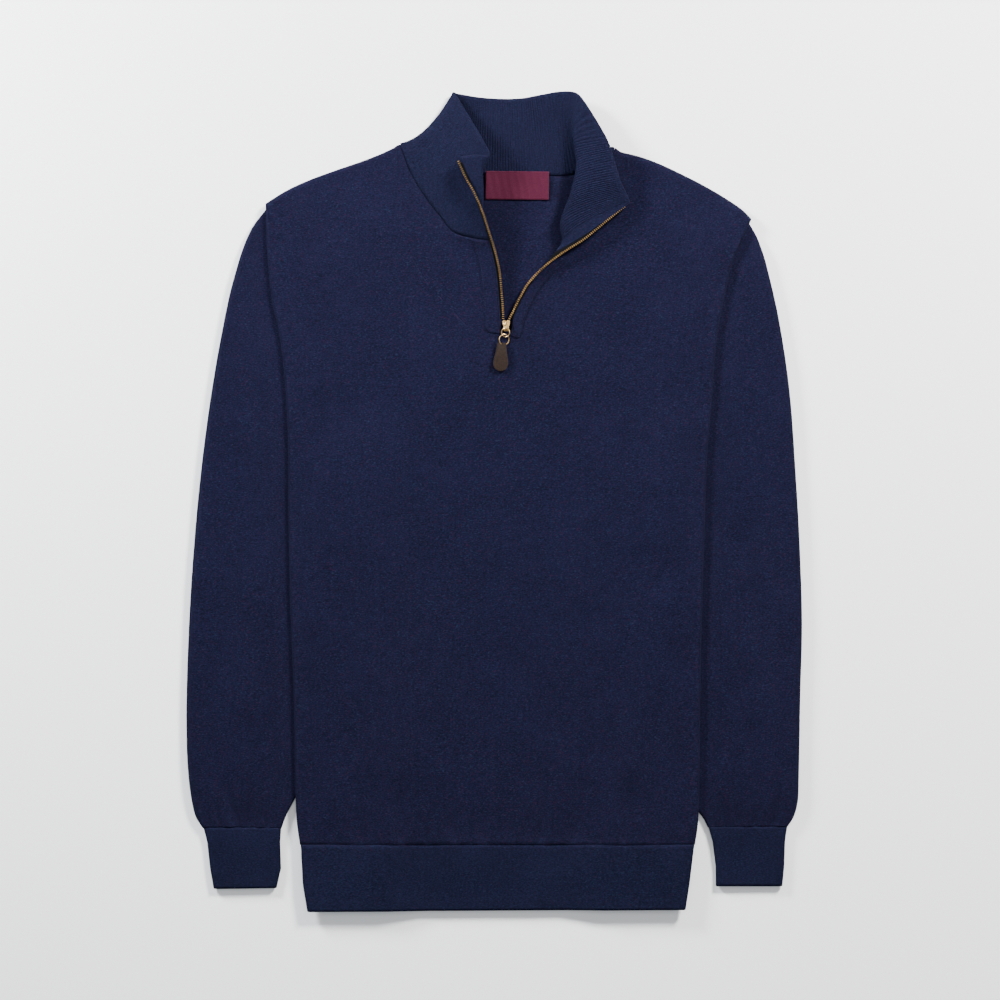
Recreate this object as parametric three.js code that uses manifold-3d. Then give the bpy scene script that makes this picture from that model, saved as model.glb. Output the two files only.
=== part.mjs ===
// Quarter zip sweater in fine knit, laid flat with its front up and its zip open.
// Millimetres, +Z up, +Y towards the collar. Left and right are as seen from above.
// The origin is the middle of the garment's footprint, on the surface it lies on.

import * as THREE from 'three';
import Module from 'manifold-3d';
import { mergeVertices } from 'three/addons/utils/BufferGeometryUtils.js';

const wasm = await Module();
wasm.setup();

// Cloth thicknesses and clearances
const JERSEY = 1.8;
const SLEEVE_KNIT = 1.5;
const RIB_KNIT = 2.2;
const COLLAR_KNIT = 1.7;
const BAND = 1.2;
const TAPE = 1.0;
const LABEL_CLOTH = 1.0;
const SEAM_GAP = 0.3;
const SEAM_INSET = 0.6;
const FRONT_SEAM_INSET = 1.35;
const LAYER_GAP = 0.65;

// How far the turned-under layers lift the body, and how far in from its sides
const LIFT = 4.5;
const ARM_LIFT_FULL = 14;
const ARM_LIFT_END = 45;
const SIDE_LIFT_FULL = 75;
const SIDE_LIFT_END = 110;
const UNDERARM_TOP = 90;
const UNDERARM_LOW = 20;

// Body heights, along Y
const HEM_SEAM_Y = -316;
const SLIT_FOOT_Y = 153;
const CENTRE_X = 11;

// How far the front's edge rolls down to the back, and how far a raised edge spreads
const TURN = 1.15;
const TURN_DROP = 0.45;
const EDGE_SPREAD = 22;
const FRONT_PUFF = 2.0;
const PUFF_FROM = 3;
const PUFF_REACH = 70;

// Folds and gathers fade out towards the body's outline and the hem seam
const FOLD_FROM = 2;
const FOLD_REACH = 16;
const SEAM_FADE = 14;

// Ribs: each raised rib stands for two of the real fine ones
const RIB_STEP = 2.4;
const RIB_RISE = 0.35;

// Zip
const PLACKET_WIDTH = 10;
const TAPE_OVERHANG = 0.6;

const rows = (columns, table) => table.map(
  (row) => Object.fromEntries(columns.map((name, k) => [name, row[k]])));

// The body's visible sides, from the hem seam up to the shoulder point
const LEFT_SIDE = rows(['x', 'y'], [
  [-178.4, -316], [-181.5, -292], [-182.4, -268], [-183.8, -185], [-187.5, -81], [-188.9, 0], [-189, 52],
  [-192.5, 117], [-198, 159], [-203.6, 184], [-208.2, 226], [-210, 274],
]);
const RIGHT_SIDE = rows(['x', 'y'], [
  [184.4, -316], [187, -297], [187.8, -280], [189.9, -134], [193, -29], [195.7, 49], [199, 86],
  [204.6, 153], [211.4, 189], [220.2, 226], [225.2, 234], [236.2, 260],
]);

// Shoulder lines, from the shoulder point to the neck seam
const LEFT_SHOULDER = rows(['x', 'y'], [
  [-210, 274], [-189.8, 286.6], [-170.4, 295.8], [-145.6, 305], [-118.9, 314.2], [-96.8, 323.4],
  [-86.3, 329.4],
]);
const RIGHT_SHOULDER = rows(['x', 'y'], [
  [110.5, 326.5], [117.2, 322], [132.3, 317.9], [150.7, 311.4], [177.3, 298.9], [195.7, 289.3],
  [212.3, 279.2],
  [227.9, 268.2], [236.2, 260],
]);

// Edges of the front's slit, from its foot up to the neck seam
const LEFT_SLIT = rows(['x', 'y', 'z'], [
  [11, 153, 5.2], [6, 157.5, 5.7], [5.2, 168.8, 6.2], [3.8, 189, 6.8], [1.7, 210.6, 8.2], [-1.8, 227.5, 10.6],
  [-4.8, 240.8, 13.3],
]);
const RIGHT_SLIT = rows(['x', 'y', 'z'], [
  [11, 153, 5.2], [16.2, 157.5, 5.7], [18.2, 169, 6.2], [26.5, 188, 6.9], [34, 200.5, 7.8], [44, 213.5, 9.4],
  [56.6, 229.5, 12],
]);

// Collar stations, from the left zip edge round the back to the right one.
// Each goes from the neck seam, past a pull point that bends it, to the top edge.
const COLLAR = rows(['seamX', 'seamY', 'seamZ', 'pullX', 'pullY', 'pullZ', 'topX', 'topY', 'topZ'], [
  [-4.8, 240.8, 13.3, -17, 284, 22, -31, 315.5, 21.5],
  [-20, 243, 9.2, -2, 284, 24, -18, 317, 24],
  [-37.9, 249, 6.2, -22, 284, 14, -4.3, 317.2, 24.5],
  [-48, 261.5, 5.6, -32, 297, 11, -9.5, 329, 22],
  [-59.1, 275.5, 5.5, -42, 309, 10, -14.5, 338.5, 19],
  [-70.2, 292.1, 5.5, -50, 319, 9.5, -22, 351, 15],
  [-77, 304.5, 5.4, -56, 326, 8.5, -29, 363, 11.5],
  [-83, 320, 5.2, -60.5, 331, 7.5, -34, 371.5, 8.5],
  [-86.3, 329.4, 3.4, -61.5, 334, 5, -37.5, 376.4, 5.6],
  [-82, 326.5, 1.5, -58.5, 332.5, 2, -34.8, 375.6, 2.7],
  [-60, 314.8, 1.4, -46, 337, 2, -29.5, 374.6, 2.8],
  [-40, 306.4, 1.4, -33, 340, 2.2, -24, 373.6, 3.2],
  [-17, 302, 1.4, -15, 336, 2.5, -13, 371.8, 4],
  [7, 301, 1.4, 7, 336, 2.6, 7, 370.4, 4.5],
  [30, 301, 1.4, 28, 336, 2.8, 26, 371, 5],
  [52, 300.8, 1.6, 49, 337, 3.4, 43, 374, 6.4],
  [66, 301.4, 2, 62, 340, 5, 60.5, 376.6, 9],
  [80, 305, 2.6, 62, 343, 9, 75.5, 374.8, 13.5],
  [96, 312.5, 3.4, 54, 341, 12, 86, 361.5, 17.5],
  [110.3, 325.6, 4.6, 42, 326, 14, 101.9, 334.4, 20.5],
  [102, 302, 5.4, 47, 306, 18, 108.3, 317.9, 20.5],
  [87, 273, 5.6, 43, 284, 19, 114.8, 295.8, 18.5],
  [70.5, 246.5, 6.4, 38, 256, 18, 121.8, 281, 15],
  [56.6, 229.5, 12, 86, 245, 17.5, 124.5, 274.5, 13],
]);

// The zip's two rows of teeth, from the slider up
const LEFT_CHAIN = rows(['x', 'y', 'z'], [
  [8.1, 167.4, 7], [7.8, 175, 7.1], [6.8, 189.1, 7.6], [4.7, 211.1, 9.4], [0.7, 229.5, 12.4],
  [-3.6, 243, 15.6],
  [-11.3, 266.3, 20.3], [-18.6, 282.9, 23.2], [-26, 295.8, 24], [-33.6, 312.4, 22],
]);
const RIGHT_CHAIN = rows(['x', 'y', 'z'], [
  [13.8, 167.4, 7], [17.3, 174.3, 7.4], [23.7, 187.2, 8.2], [31.1, 200.1, 9.4], [40.3, 210.2, 11.4],
  [53.1, 221.3, 13.2], [67.9, 231.4, 15], [82.6, 240.6, 15.6], [97.3, 252.5, 15.6], [112, 264.5, 14.4],
  [121.8, 272.2, 13],
]);

// Sleeves, a row for each ring from the armhole to the cuff seam
const LEFT_SLEEVE = rows(['outX', 'outY', 'inX', 'inY'], [
  [-208.2, 272, -177.8, 29], [-224.7, 249.8, -176.8, 2], [-240.4, 203.8, -176, -22],
  [-252.3, 148.6, -175.5, -44],
  [-261.5, 94, -175.2, -68], [-270, 30, -175, -98], [-277, -45, -174, -134], [-281.5, -120, -172.8, -172],
  [-283.6, -190, -171.5, -212], [-282.7, -240, -171.5, -248], [-279.2, -273, -183, -272.5],
  [-275, -290.5, -192.4, -290.5], [-268.6, -300.2, -196, -300.2],
]);
const RIGHT_SLEEVE = rows(['outX', 'outY', 'inX', 'inY'], [
  [233.5, 259, 183.8, 29], [243.6, 240.6, 182.5, 4], [256.5, 195, 182, -20], [265.6, 148.6, 181.6, -42],
  [272.5, 98, 181.2, -66], [277.5, 30, 180.5, -98], [281.7, -45, 179.5, -134], [283.6, -115, 178.5, -172],
  [282, -180, 177.5, -212], [280.8, -245, 176.8, -252], [279.4, -278, 184.2, -280],
  [275.2, -292, 193, -292.5], [269.5, -299.5, 197, -299.5],
]);

// Cuffs and hem, a row for each course from the seam to the free edge
const LEFT_CUFF = rows(['outX', 'outY', 'inX', 'inY'], [
  [-268, -300.7, -196.2, -300.7], [-264.6, -314, -197.1, -314], [-262, -338, -196.3, -338],
  [-258.8, -356.3, -200.4, -355.6],
]);
const RIGHT_CUFF = rows(['outX', 'outY', 'inX', 'inY'], [
  [270, -300, 197.3, -300], [268.2, -313, 201, -313], [267.4, -336, 203.9, -336],
  [265.7, -353.9, 204, -353.9],
]);
const HEM = rows(['outX', 'outY', 'inX', 'inY'], [
  [-178.2, -316.3, 184.2, -316.3], [-176.4, -352, 180, -351], [-172.3, -377, 176.3, -375.2],
]);

// Gathers that run up from a rib: where each meets it, where it ends, its half width and its depth
const HEM_GATHERS = rows(['footX', 'topX', 'topY', 'half', 'depth'], [
  [-150, -154, -262, 8, 0.5], [-124.6, -139, -190, 9, 1.1], [-112, -116, -268, 6, 0.6],
  [-86, -92, -240, 8, 0.9],
  [-62, -64, -280, 6, 0.5], [-37, -44, -236, 8, 1.0], [-10, -13, -262, 7, 1.0], [17, 16, -284, 6, 0.5],
  [43, 47, -226, 8, 1.0], [72, 77, -262, 7, 0.8], [92, 122, -150, 10, 1.3], [118, 128, -236, 8, 0.8],
  [146, 152, -258, 8, 0.6],
]);
const LEFT_CUFF_GATHERS = rows(['footX', 'topX', 'topY', 'half', 'depth'], [
  [-252, -262, -262, 6, 0.6], [-236, -253, -243, 6, 1.3], [-222, -226, -238, 6, 0.7],
  [-209, -212, -258, 5, 0.6],
]);
const RIGHT_CUFF_GATHERS = rows(['footX', 'topX', 'topY', 'half', 'depth'], [
  [212, 206, -258, 6, 0.6], [226, 224, -248, 6, 0.8], [241, 243, -262, 6, 0.6], [256, 264, -256, 6, 0.7],
]);

// Long soft folds: their two ends, half width and height, below zero for a trough
const BODY_FOLDS = rows(['x0', 'y0', 'x1', 'y1', 'half', 'height'], [
  [137, -60, 111, -185, 20, -1.2], [111, -185, 90, -300, 16, -1.2], [152, -95, 126, -245, 16, 0.8],
  [201, 250, 200, 158, 12, -0.9], [-120, 250, -150, 120, 26, 0.7], [-150, -60, -128, -200, 16, -0.7],
  [60, 150, 150, 60, 30, 0.6], [-40, 120, -110, 20, 30, 0.5],
]);

const clamp = THREE.MathUtils.clamp;
const lerp = THREE.MathUtils.lerp;
const smooth = (value) => THREE.MathUtils.smoothstep(value, 0, 1);
const spot = (row) => new THREE.Vector3(row.x, row.y, row.z ?? 0);
const evenly = (count) => Array.from({ length: count + 1 }, (_, k) => k / count);

// A smooth curve through points, read by its length from 0 to 1
const RAIL_STEPS = 60;
function rail(points) {
  const curve = new THREE.CatmullRomCurve3(points, false, 'centripetal');
  curve.arcLengthDivisions = RAIL_STEPS * points.length;
  return (share) => curve.getPointAt(clamp(share, 0, 1));
}

const leftSide = rail(LEFT_SIDE.map(spot));
const rightSide = rail(RIGHT_SIDE.map(spot));
const leftShoulder = rail(LEFT_SHOULDER.map(spot));
const rightShoulder = rail(RIGHT_SHOULDER.map(spot));
const leftSlit = rail(LEFT_SLIT.map(spot));
const rightSlit = rail(RIGHT_SLIT.map(spot));
const LEFT_SEAM_ROWS = 9;
const RIGHT_SEAM_START = 19;
const seamSpot = (row) => new THREE.Vector3(row.seamX, row.seamY, row.seamZ);
const leftNeck = rail(COLLAR.slice(0, LEFT_SEAM_ROWS).reverse().map(seamSpot));
const backNeck = rail(COLLAR.slice(LEFT_SEAM_ROWS - 1, RIGHT_SEAM_START + 1).map(seamSpot));
const rightNeck = rail(COLLAR.slice(RIGHT_SEAM_START).reverse().map(seamSpot));

// The nearest place to x, y on a run of straight pieces: how far it is, and its height
function nearest(chain, x, y) {
  let best = { distance: Infinity, z: 0 };
  for (let k = 1; k < chain.length; k += 1) {
    const a = chain[k - 1];
    const b = chain[k];
    const run = { x: b.x - a.x, y: b.y - a.y };
    const length2 = run.x * run.x + run.y * run.y || 1;
    const share = clamp(((x - a.x) * run.x + (y - a.y) * run.y) / length2, 0, 1);
    const distance = Math.hypot(x - a.x - share * run.x, y - a.y - share * run.y);
    if (distance < best.distance) {
      best = { distance, z: lerp(a.z, b.z, share) };
    }
  }
  return best;
}
const SIDE_STEPS = 40;
const NECK_STEPS = 30;
const SHORT_STEPS = 24;
const trace = (curve, count) => evenly(count).map(curve);
const SIDE_TRACES = [trace(leftSide, SIDE_STEPS), trace(rightSide, SIDE_STEPS)];
const HEM_TRACES = [
  [LEFT_SIDE[0], ...HEM.map((row) => ({ x: row.outX, y: row.outY }))],
  [RIGHT_SIDE[0], ...HEM.map((row) => ({ x: row.inX, y: row.inY }))],
].map((corners) => corners.map(spot));
const SHOULDER_TRACES = [trace(leftShoulder, SHORT_STEPS), trace(rightShoulder, SHORT_STEPS)];
const RAISED_TRACES = [
  trace(leftSlit, SHORT_STEPS), trace(rightSlit, SHORT_STEPS),
  trace(leftNeck, NECK_STEPS), trace(rightNeck, NECK_STEPS),
];

const nearestOf = (traces, x, y) => traces
  .map((chain) => nearest(chain, x, y))
  .reduce((best, next) => (next.distance < best.distance ? next : best));
const fromSide = (x, y) => nearestOf([...SIDE_TRACES, ...HEM_TRACES], x, y).distance;

// How far x, y lies outside the body's visible sides, 0 inside
function outsideBody(x, y) {
  const sides = x < 0 ? SIDE_TRACES[0] : SIDE_TRACES[1];
  const low = sides[0];
  const high = sides[sides.length - 1];
  const level = clamp(y, low.y, high.y);
  const k = Math.max(1, sides.findIndex((point) => point.y >= level));
  const share = (level - sides[k - 1].y) / (sides[k].y - sides[k - 1].y || 1);
  const edge = lerp(sides[k - 1].x, sides[k].x, share);
  const out = Math.abs(x) > Math.abs(edge) || y > high.y;
  return out ? nearest(sides, x, y).distance : 0;
}

// The height that the layers turned under the body give it
function lift(x, y) {
  const distance = fromSide(x, y);
  const fall = (full, end) => LIFT * clamp((end - distance) / (end - full), 0, 1);
  const arm = clamp((y - UNDERARM_LOW) / (UNDERARM_TOP - UNDERARM_LOW), 0, 1);
  return lerp(fall(SIDE_LIFT_FULL, SIDE_LIFT_END), fall(ARM_LIFT_FULL, ARM_LIFT_END), arm);
}

// The depth of a set of gathers that rise from a rib's seam
function gatherDepth(gathers, seamY, x, y) {
  return gathers.reduce((sum, fold) => {
    const share = (y - seamY) / (fold.topY - seamY);
    if (share < 0 || share > 1) {
      return sum;
    }
    const across = (x - lerp(fold.footX, fold.topX, share)) / fold.half;
    return sum + fold.depth * (1 - smooth(share)) * Math.exp(-across * across);
  }, 0);
}

function foldHeight(folds, x, y) {
  return folds.reduce((sum, fold) => {
    const along = { x: fold.x1 - fold.x0, y: fold.y1 - fold.y0 };
    const share = ((x - fold.x0) * along.x + (y - fold.y0) * along.y) / (along.x ** 2 + along.y ** 2);
    const level = clamp(share, 0, 1);
    const off = Math.hypot(x - fold.x0 - level * along.x, y - fold.y0 - level * along.y) / fold.half;
    return sum + fold.height * Math.exp(-off * off);
  }, 0);
}

const backHeight = (x, y) => JERSEY / 2 + lift(x, y);

function frontHeight(x, y) {
  const inFromSide = nearestOf([...SIDE_TRACES, ...SHOULDER_TRACES], x, y).distance;
  const puff = FRONT_PUFF * smooth((inFromSide - PUFF_FROM) / PUFF_REACH);
  const quiet = smooth((inFromSide - FOLD_FROM) / FOLD_REACH);
  const seamFade = smooth((y - HEM_SEAM_Y) / SEAM_FADE);
  const relief = foldHeight(BODY_FOLDS, x, y) - gatherDepth(HEM_GATHERS, HEM_SEAM_Y, x, y) * seamFade;
  const base = backHeight(x, y) + JERSEY + LAYER_GAP + puff + Math.max(-puff, relief * quiet);
  const raised = nearestOf(RAISED_TRACES, x, y);
  const reach = clamp(1 - raised.distance / EDGE_SPREAD, 0, 1);
  const level = lerp(base, Math.max(raised.z, base), reach * reach);
  const inTurn = clamp(1 - (inFromSide - JERSEY / 2) / TURN, 0, 1);
  return level - TURN_DROP * (1 - Math.sqrt(1 - inTurn * inTurn));
}

// A patch between four curves, read by u across and v up
function patch(bottom, top, left, right) {
  const corner = [bottom(0), bottom(1), top(0), top(1)];
  return (u, v) => {
    const across = bottom(u).multiplyScalar(1 - v).add(top(u).multiplyScalar(v));
    const up = left(v).multiplyScalar(1 - u).add(right(v).multiplyScalar(u));
    const shared = corner[0].clone().multiplyScalar((1 - u) * (1 - v))
      .add(corner[1].clone().multiplyScalar(u * (1 - v)))
      .add(corner[2].clone().multiplyScalar((1 - u) * v))
      .add(corner[3].clone().multiplyScalar(u * v));
    return across.add(up).sub(shared);
  };
}

// A grid of points with its quads, seen from its face side anticlockwise
function grid(across, up, place, wrap = false) {
  const points = [];
  const quads = [];
  for (let j = 0; j < up; j += 1) {
    for (let i = 0; i < across; i += 1) {
      points.push(place(i, j));
    }
  }
  const last = wrap ? across : across - 1;
  for (let j = 0; j < up - 1; j += 1) {
    for (let i = 0; i < last; i += 1) {
      const next = (i + 1) % across;
      quads.push([j * across + i, j * across + next, (j + 1) * across + next, (j + 1) * across + i]);
    }
  }
  return { points, quads };
}

// Two sheets joined where their points meet
function weld(first, second) {
  const points = [...first.points];
  const spots = new Map(points.map((point, k) => [point.toArray().map((n) => n.toFixed(3)).join(), k]));
  const moved = second.points.map((point) => {
    const key = point.toArray().map((n) => n.toFixed(3)).join();
    if (!spots.has(key)) {
      spots.set(key, points.length);
      points.push(point);
    }
    return spots.get(key);
  });
  return { points, quads: [...first.quads, ...second.quads.map((quad) => quad.map((k) => moved[k]))] };
}

// The direction that each point of a sheet faces
function facings(sheet) {
  const normals = sheet.points.map(() => new THREE.Vector3());
  sheet.quads.forEach((quad) => {
    const [a, b, c, d] = quad.map((k) => sheet.points[k]);
    const normal = c.clone().sub(a).cross(d.clone().sub(b));
    quad.forEach((k) => normals[k].add(normal));
  });
  return normals.map((normal) => normal.normalize());
}

function solid(points, triangles) {
  const geometry = new THREE.BufferGeometry();
  const flat = points.flatMap((point) => [point.x, point.y, Math.max(point.z, 0)]);
  geometry.setAttribute('position', new THREE.Float32BufferAttribute(flat, 3));
  geometry.setIndex(triangles.flat());
  const merged = mergeVertices(geometry, 1e-4);
  merged.computeVertexNormals();
  return merged;
}

// A closed wall round a sheet. faceRise and backRise raise the points of one side over the plain thickness.
function wall(sheet, thickness, faceRise = () => 0, backRise = () => 0) {
  const normals = facings(sheet);
  const count = sheet.points.length;
  const moved = (by) => sheet.points.map((p, k) => p.clone().addScaledVector(normals[k], by(k)));
  const face = moved((k) => thickness / 2 + faceRise(k));
  const back = moved((k) => -thickness / 2 - backRise(k));
  const triangles = [];
  const edges = new Map();
  sheet.quads.forEach((quad) => {
    const [a, b, c, d] = quad;
    triangles.push([a, b, c], [a, c, d]);
    triangles.push([count + a, count + c, count + b], [count + a, count + d, count + c]);
    quad.forEach((from, k) => edges.set(`${from},${quad[(k + 1) % 4]}`, [from, quad[(k + 1) % 4]]));
  });
  edges.forEach(([from, to]) => {
    if (!edges.has(`${to},${from}`)) {
      triangles.push([to, from, count + from], [to, count + from, count + to]);
    }
  });
  return solid([...face, ...back], triangles);
}

// A solid through closed sections of equal count, with flat ends
function loft(sections) {
  const count = sections[0].length;
  const sheet = grid(count, sections.length, (i, j) => sections[j][i], true);
  const triangles = sheet.quads.flatMap(([a, b, c, d]) => [[a, b, c], [a, c, d]]);
  const points = [...sheet.points];
  [0, sections.length - 1].forEach((end) => {
    const middle = sections[end].reduce((sum, p) => sum.add(p), new THREE.Vector3()).divideScalar(count);
    const hub = points.push(middle) - 1;
    for (let i = 0; i < count; i += 1) {
      const a = end * count + i;
      const b = end * count + ((i + 1) % count);
      triangles.push(end === 0 ? [hub, b, a] : [hub, a, b]);
    }
  });
  return solid(points, triangles);
}

// Materials
const finish = (color, roughness, metalness = 0) => (
  new THREE.MeshStandardMaterial({ color, roughness, metalness }));
const knit = () => finish(0x22243a, 0.95);
const ribbed = () => finish(0x23293f, 0.95);

const sweater = new THREE.Group();
function piece(name, geometry, material) {
  const mesh = new THREE.Mesh(geometry, material);
  mesh.name = name;
  sweater.add(mesh);
  return mesh;
}

// Front: two patches that share the centre line below the zip and part along its slit
const LOOK_AHEAD = 0.01;
const inset = (curve, by) => (share) => {
  const here = curve(share);
  const ahead = curve(Math.min(1, share + LOOK_AHEAD)).sub(curve(Math.max(0, share - LOOK_AHEAD)));
  return here.add(new THREE.Vector3(-ahead.y, ahead.x, 0).normalize().multiplyScalar(by));
};
const HALF = JERSEY / 2;
const line = (a, b) => (share) => new THREE.Vector3().lerpVectors(a, b, share);
const joined = (first, second, at) => (share) => (
  share <= at ? first(share / at) : second((share - at) / (1 - at)));

const FRONT_LOW_Y = HEM_SEAM_Y + SEAM_GAP;
const CENTRE_FOOT = new THREE.Vector3(CENTRE_X, FRONT_LOW_Y, 0);
const SLIT_FOOT = new THREE.Vector3(CENTRE_X, SLIT_FOOT_Y, 0);
const LEFT_SLIT_SHARE = 0.84;
const RIGHT_SLIT_SHARE = 0.68;
const RIGHT_NECK_SHARE = 0.81;
const SHOULDER_SHARE = 0.56;

function level(point) {
  return new THREE.Vector3(point.x, point.y, 0);
}
const flatOf = (curve) => (share) => level(curve(share));

function sideCorner(curve, by) {
  const at = inset(curve, by)(0);
  return new THREE.Vector3(at.x, FRONT_LOW_Y, 0);
}
// A curve whose two ends are drawn to the points given, each over a share of its length
const DRAWN_SHARE = 1 / 12;
function endsAt(curve, start, end) {
  const startShift = start.clone().sub(curve(0));
  const endShift = end.clone().sub(curve(1));
  return (share) => curve(share)
    .addScaledVector(startShift, Math.max(0, 1 - share / DRAWN_SHARE))
    .addScaledVector(endShift, Math.max(0, 1 - (1 - share) / DRAWN_SHARE));
}

const SHOULDER_LEFT = spot(LEFT_SIDE.at(-1)).add(new THREE.Vector3(HALF, -HALF, 0));
const SHOULDER_RIGHT = spot(RIGHT_SIDE.at(-1)).add(new THREE.Vector3(-HALF, -HALF, 0));
const leftEdge = endsAt(flatOf(inset(leftSide, -HALF)), sideCorner(leftSide, -HALF), SHOULDER_LEFT);
const rightEdge = endsAt(flatOf(inset(rightSide, HALF)), sideCorner(rightSide, HALF), SHOULDER_RIGHT);
const leftSeam = flatOf(inset(leftNeck, -FRONT_SEAM_INSET));
const rightSeam = flatOf(inset(rightNeck, -FRONT_SEAM_INSET));
const neckLeft = leftSeam(0);
const neckRight = rightSeam(1);
const leftTopFront = joined(
  endsAt(flatOf(inset(leftShoulder, -HALF)), SHOULDER_LEFT, neckLeft),
  leftSeam,
  SHOULDER_SHARE,
);
const rightTopFront = endsAt(flatOf(inset(rightShoulder, -HALF)), neckRight, SHOULDER_RIGHT);
const centreLine = line(CENTRE_FOOT, SLIT_FOOT);
const leftCentre = joined(centreLine, endsAt(flatOf(leftSlit), SLIT_FOOT, leftSeam(1)), LEFT_SLIT_SHARE);
const rightOpening = joined(
  endsAt(flatOf(rightSlit), SLIT_FOOT, rightSeam(0)),
  rightSeam,
  (RIGHT_NECK_SHARE - RIGHT_SLIT_SHARE) / (1 - RIGHT_SLIT_SHARE),
);
const rightCentre = joined(centreLine, rightOpening, RIGHT_SLIT_SHARE);

const leftPatch = patch(line(leftEdge(0), CENTRE_FOOT), leftTopFront, leftEdge, leftCentre);
const rightPatch = patch(line(CENTRE_FOOT, rightEdge(0)), rightTopFront, rightCentre, rightEdge);

// Shares of a row's width and of a column's height where the front has its points
const EDGE_SHARES = [0, 0.0018, 0.0062];
const PLACKET_SHARE = 0.948;
const ROWS_BELOW = [0, 0.026, 0.062, 0.11, 0.17, 0.25, 0.35, 0.47, 0.6, 0.73, 0.87];
const LEFT_BESIDE = [0, 0.08, 0.22, 0.4, 0.6, 0.8, 0.95, 0.9885, 1];
const RIGHT_BESIDE = [0, 0.04, 0.12, 0.21, 0.3, 0.385, 0.406, 0.5, 0.6, 0.72, 0.84, 0.94, 0.9943, 1];
const SHOULDER_COLUMNS = 9;
const NECK_COLUMNS = 9;
const RIGHT_COLUMNS = 14;
const RIGHT_LAST_SHARE = 0.96;

const frontRows = (slitShare, beside) => [
  ...ROWS_BELOW.map((share) => share * slitShare),
  ...beside.map((share) => lerp(slitShare, 1, share)),
];
const leftRows = frontRows(LEFT_SLIT_SHARE, LEFT_BESIDE);
const rightRows = frontRows(RIGHT_SLIT_SHARE, RIGHT_BESIDE);
const leftColumns = [
  ...EDGE_SHARES,
  ...evenly(SHOULDER_COLUMNS).slice(1).map((share) => share * SHOULDER_SHARE),
  ...evenly(NECK_COLUMNS).slice(1).map((share) => lerp(SHOULDER_SHARE, PLACKET_SHARE, share)),
  1,
];
const rightColumns = [
  0,
  ...evenly(RIGHT_COLUMNS).map((share) => lerp(1 - PLACKET_SHARE, RIGHT_LAST_SHARE, share)),
  ...EDGE_SHARES.map((share) => 1 - share).reverse(),
];
const onFront = (point) => new THREE.Vector3(point.x, point.y, frontHeight(point.x, point.y));
const leftFront = grid(leftColumns.length, leftRows.length, (i, j) => (
  onFront(leftPatch(leftColumns[i], leftRows[j]))));
const rightFront = grid(rightColumns.length, rightRows.length, (i, j) => (
  onFront(rightPatch(rightColumns[i], rightRows[j]))));
piece('front_panel', wall(weld(leftFront, rightFront), JERSEY), knit());

// Back, flat on the surface in its middle and lifted at its sides
const backCorner = (side) => new THREE.Vector3(side[0].x, FRONT_LOW_Y, 0);
const backLeft = endsAt(flatOf(leftSide), backCorner(LEFT_SIDE), level(leftShoulder(0)));
const backRight = endsAt(flatOf(rightSide), backCorner(RIGHT_SIDE), level(rightShoulder(1)));
const BACK_NECK_FROM = 0.34;
const BACK_NECK_TO = 0.71;
const backSeam = flatOf(inset(backNeck, -SEAM_INSET));
const backTop = (share) => {
  if (share < BACK_NECK_FROM) {
    return endsAt(flatOf(leftShoulder), level(leftShoulder(0)), backSeam(0))(share / BACK_NECK_FROM);
  }
  if (share > BACK_NECK_TO) {
    const beyond = (share - BACK_NECK_TO) / (1 - BACK_NECK_TO);
    return endsAt(flatOf(rightShoulder), backSeam(1), level(rightShoulder(1)))(beyond);
  }
  return backSeam((share - BACK_NECK_FROM) / (BACK_NECK_TO - BACK_NECK_FROM));
};
const backPatch = patch(line(backLeft(0), backRight(0)), backTop, backLeft, backRight);
const BACK_WIDTH = 370;
const BACK_COLUMN_GAP = 0.02;
const BACK_NECK_COLUMNS = 12;
const BACK_SIDE_STEPS = [0, 8, ARM_LIFT_FULL, 24, 35, ARM_LIFT_END, SIDE_LIFT_FULL, SIDE_LIFT_END];
const BACK_SIDE_SHARES = BACK_SIDE_STEPS.map((mm) => mm / BACK_WIDTH);
const backColumns = [
  ...BACK_SIDE_SHARES,
  ...evenly(BACK_NECK_COLUMNS).map((share) => lerp(BACK_NECK_FROM, BACK_NECK_TO, share)),
  ...BACK_SIDE_SHARES
    .map((share) => 1 - share)
    .filter((share) => share > BACK_NECK_TO + BACK_COLUMN_GAP)
    .reverse(),
];
const backRows = [0, 0.16, 0.32, 0.46, 0.555, 0.62, 0.69, 0.77, 0.85, 0.93, 1];
const back = grid(backColumns.length, backRows.length, (i, j) => {
  const point = backPatch(backColumns[i], backRows[j]);
  return point.setZ(backHeight(point.x, point.y));
});
piece('back_panel', wall(back, JERSEY), knit());

// The direction in plan square to an edge that runs along tangent, on the side that reach points to
function squareTo(tangent, reach) {
  const square = new THREE.Vector3(-tangent.y, tangent.x, 0).normalize();
  return square.dot(reach) < 0 ? square.negate() : square;
}

const FOLD_ANGLES = [-45, 0, 45];

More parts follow.
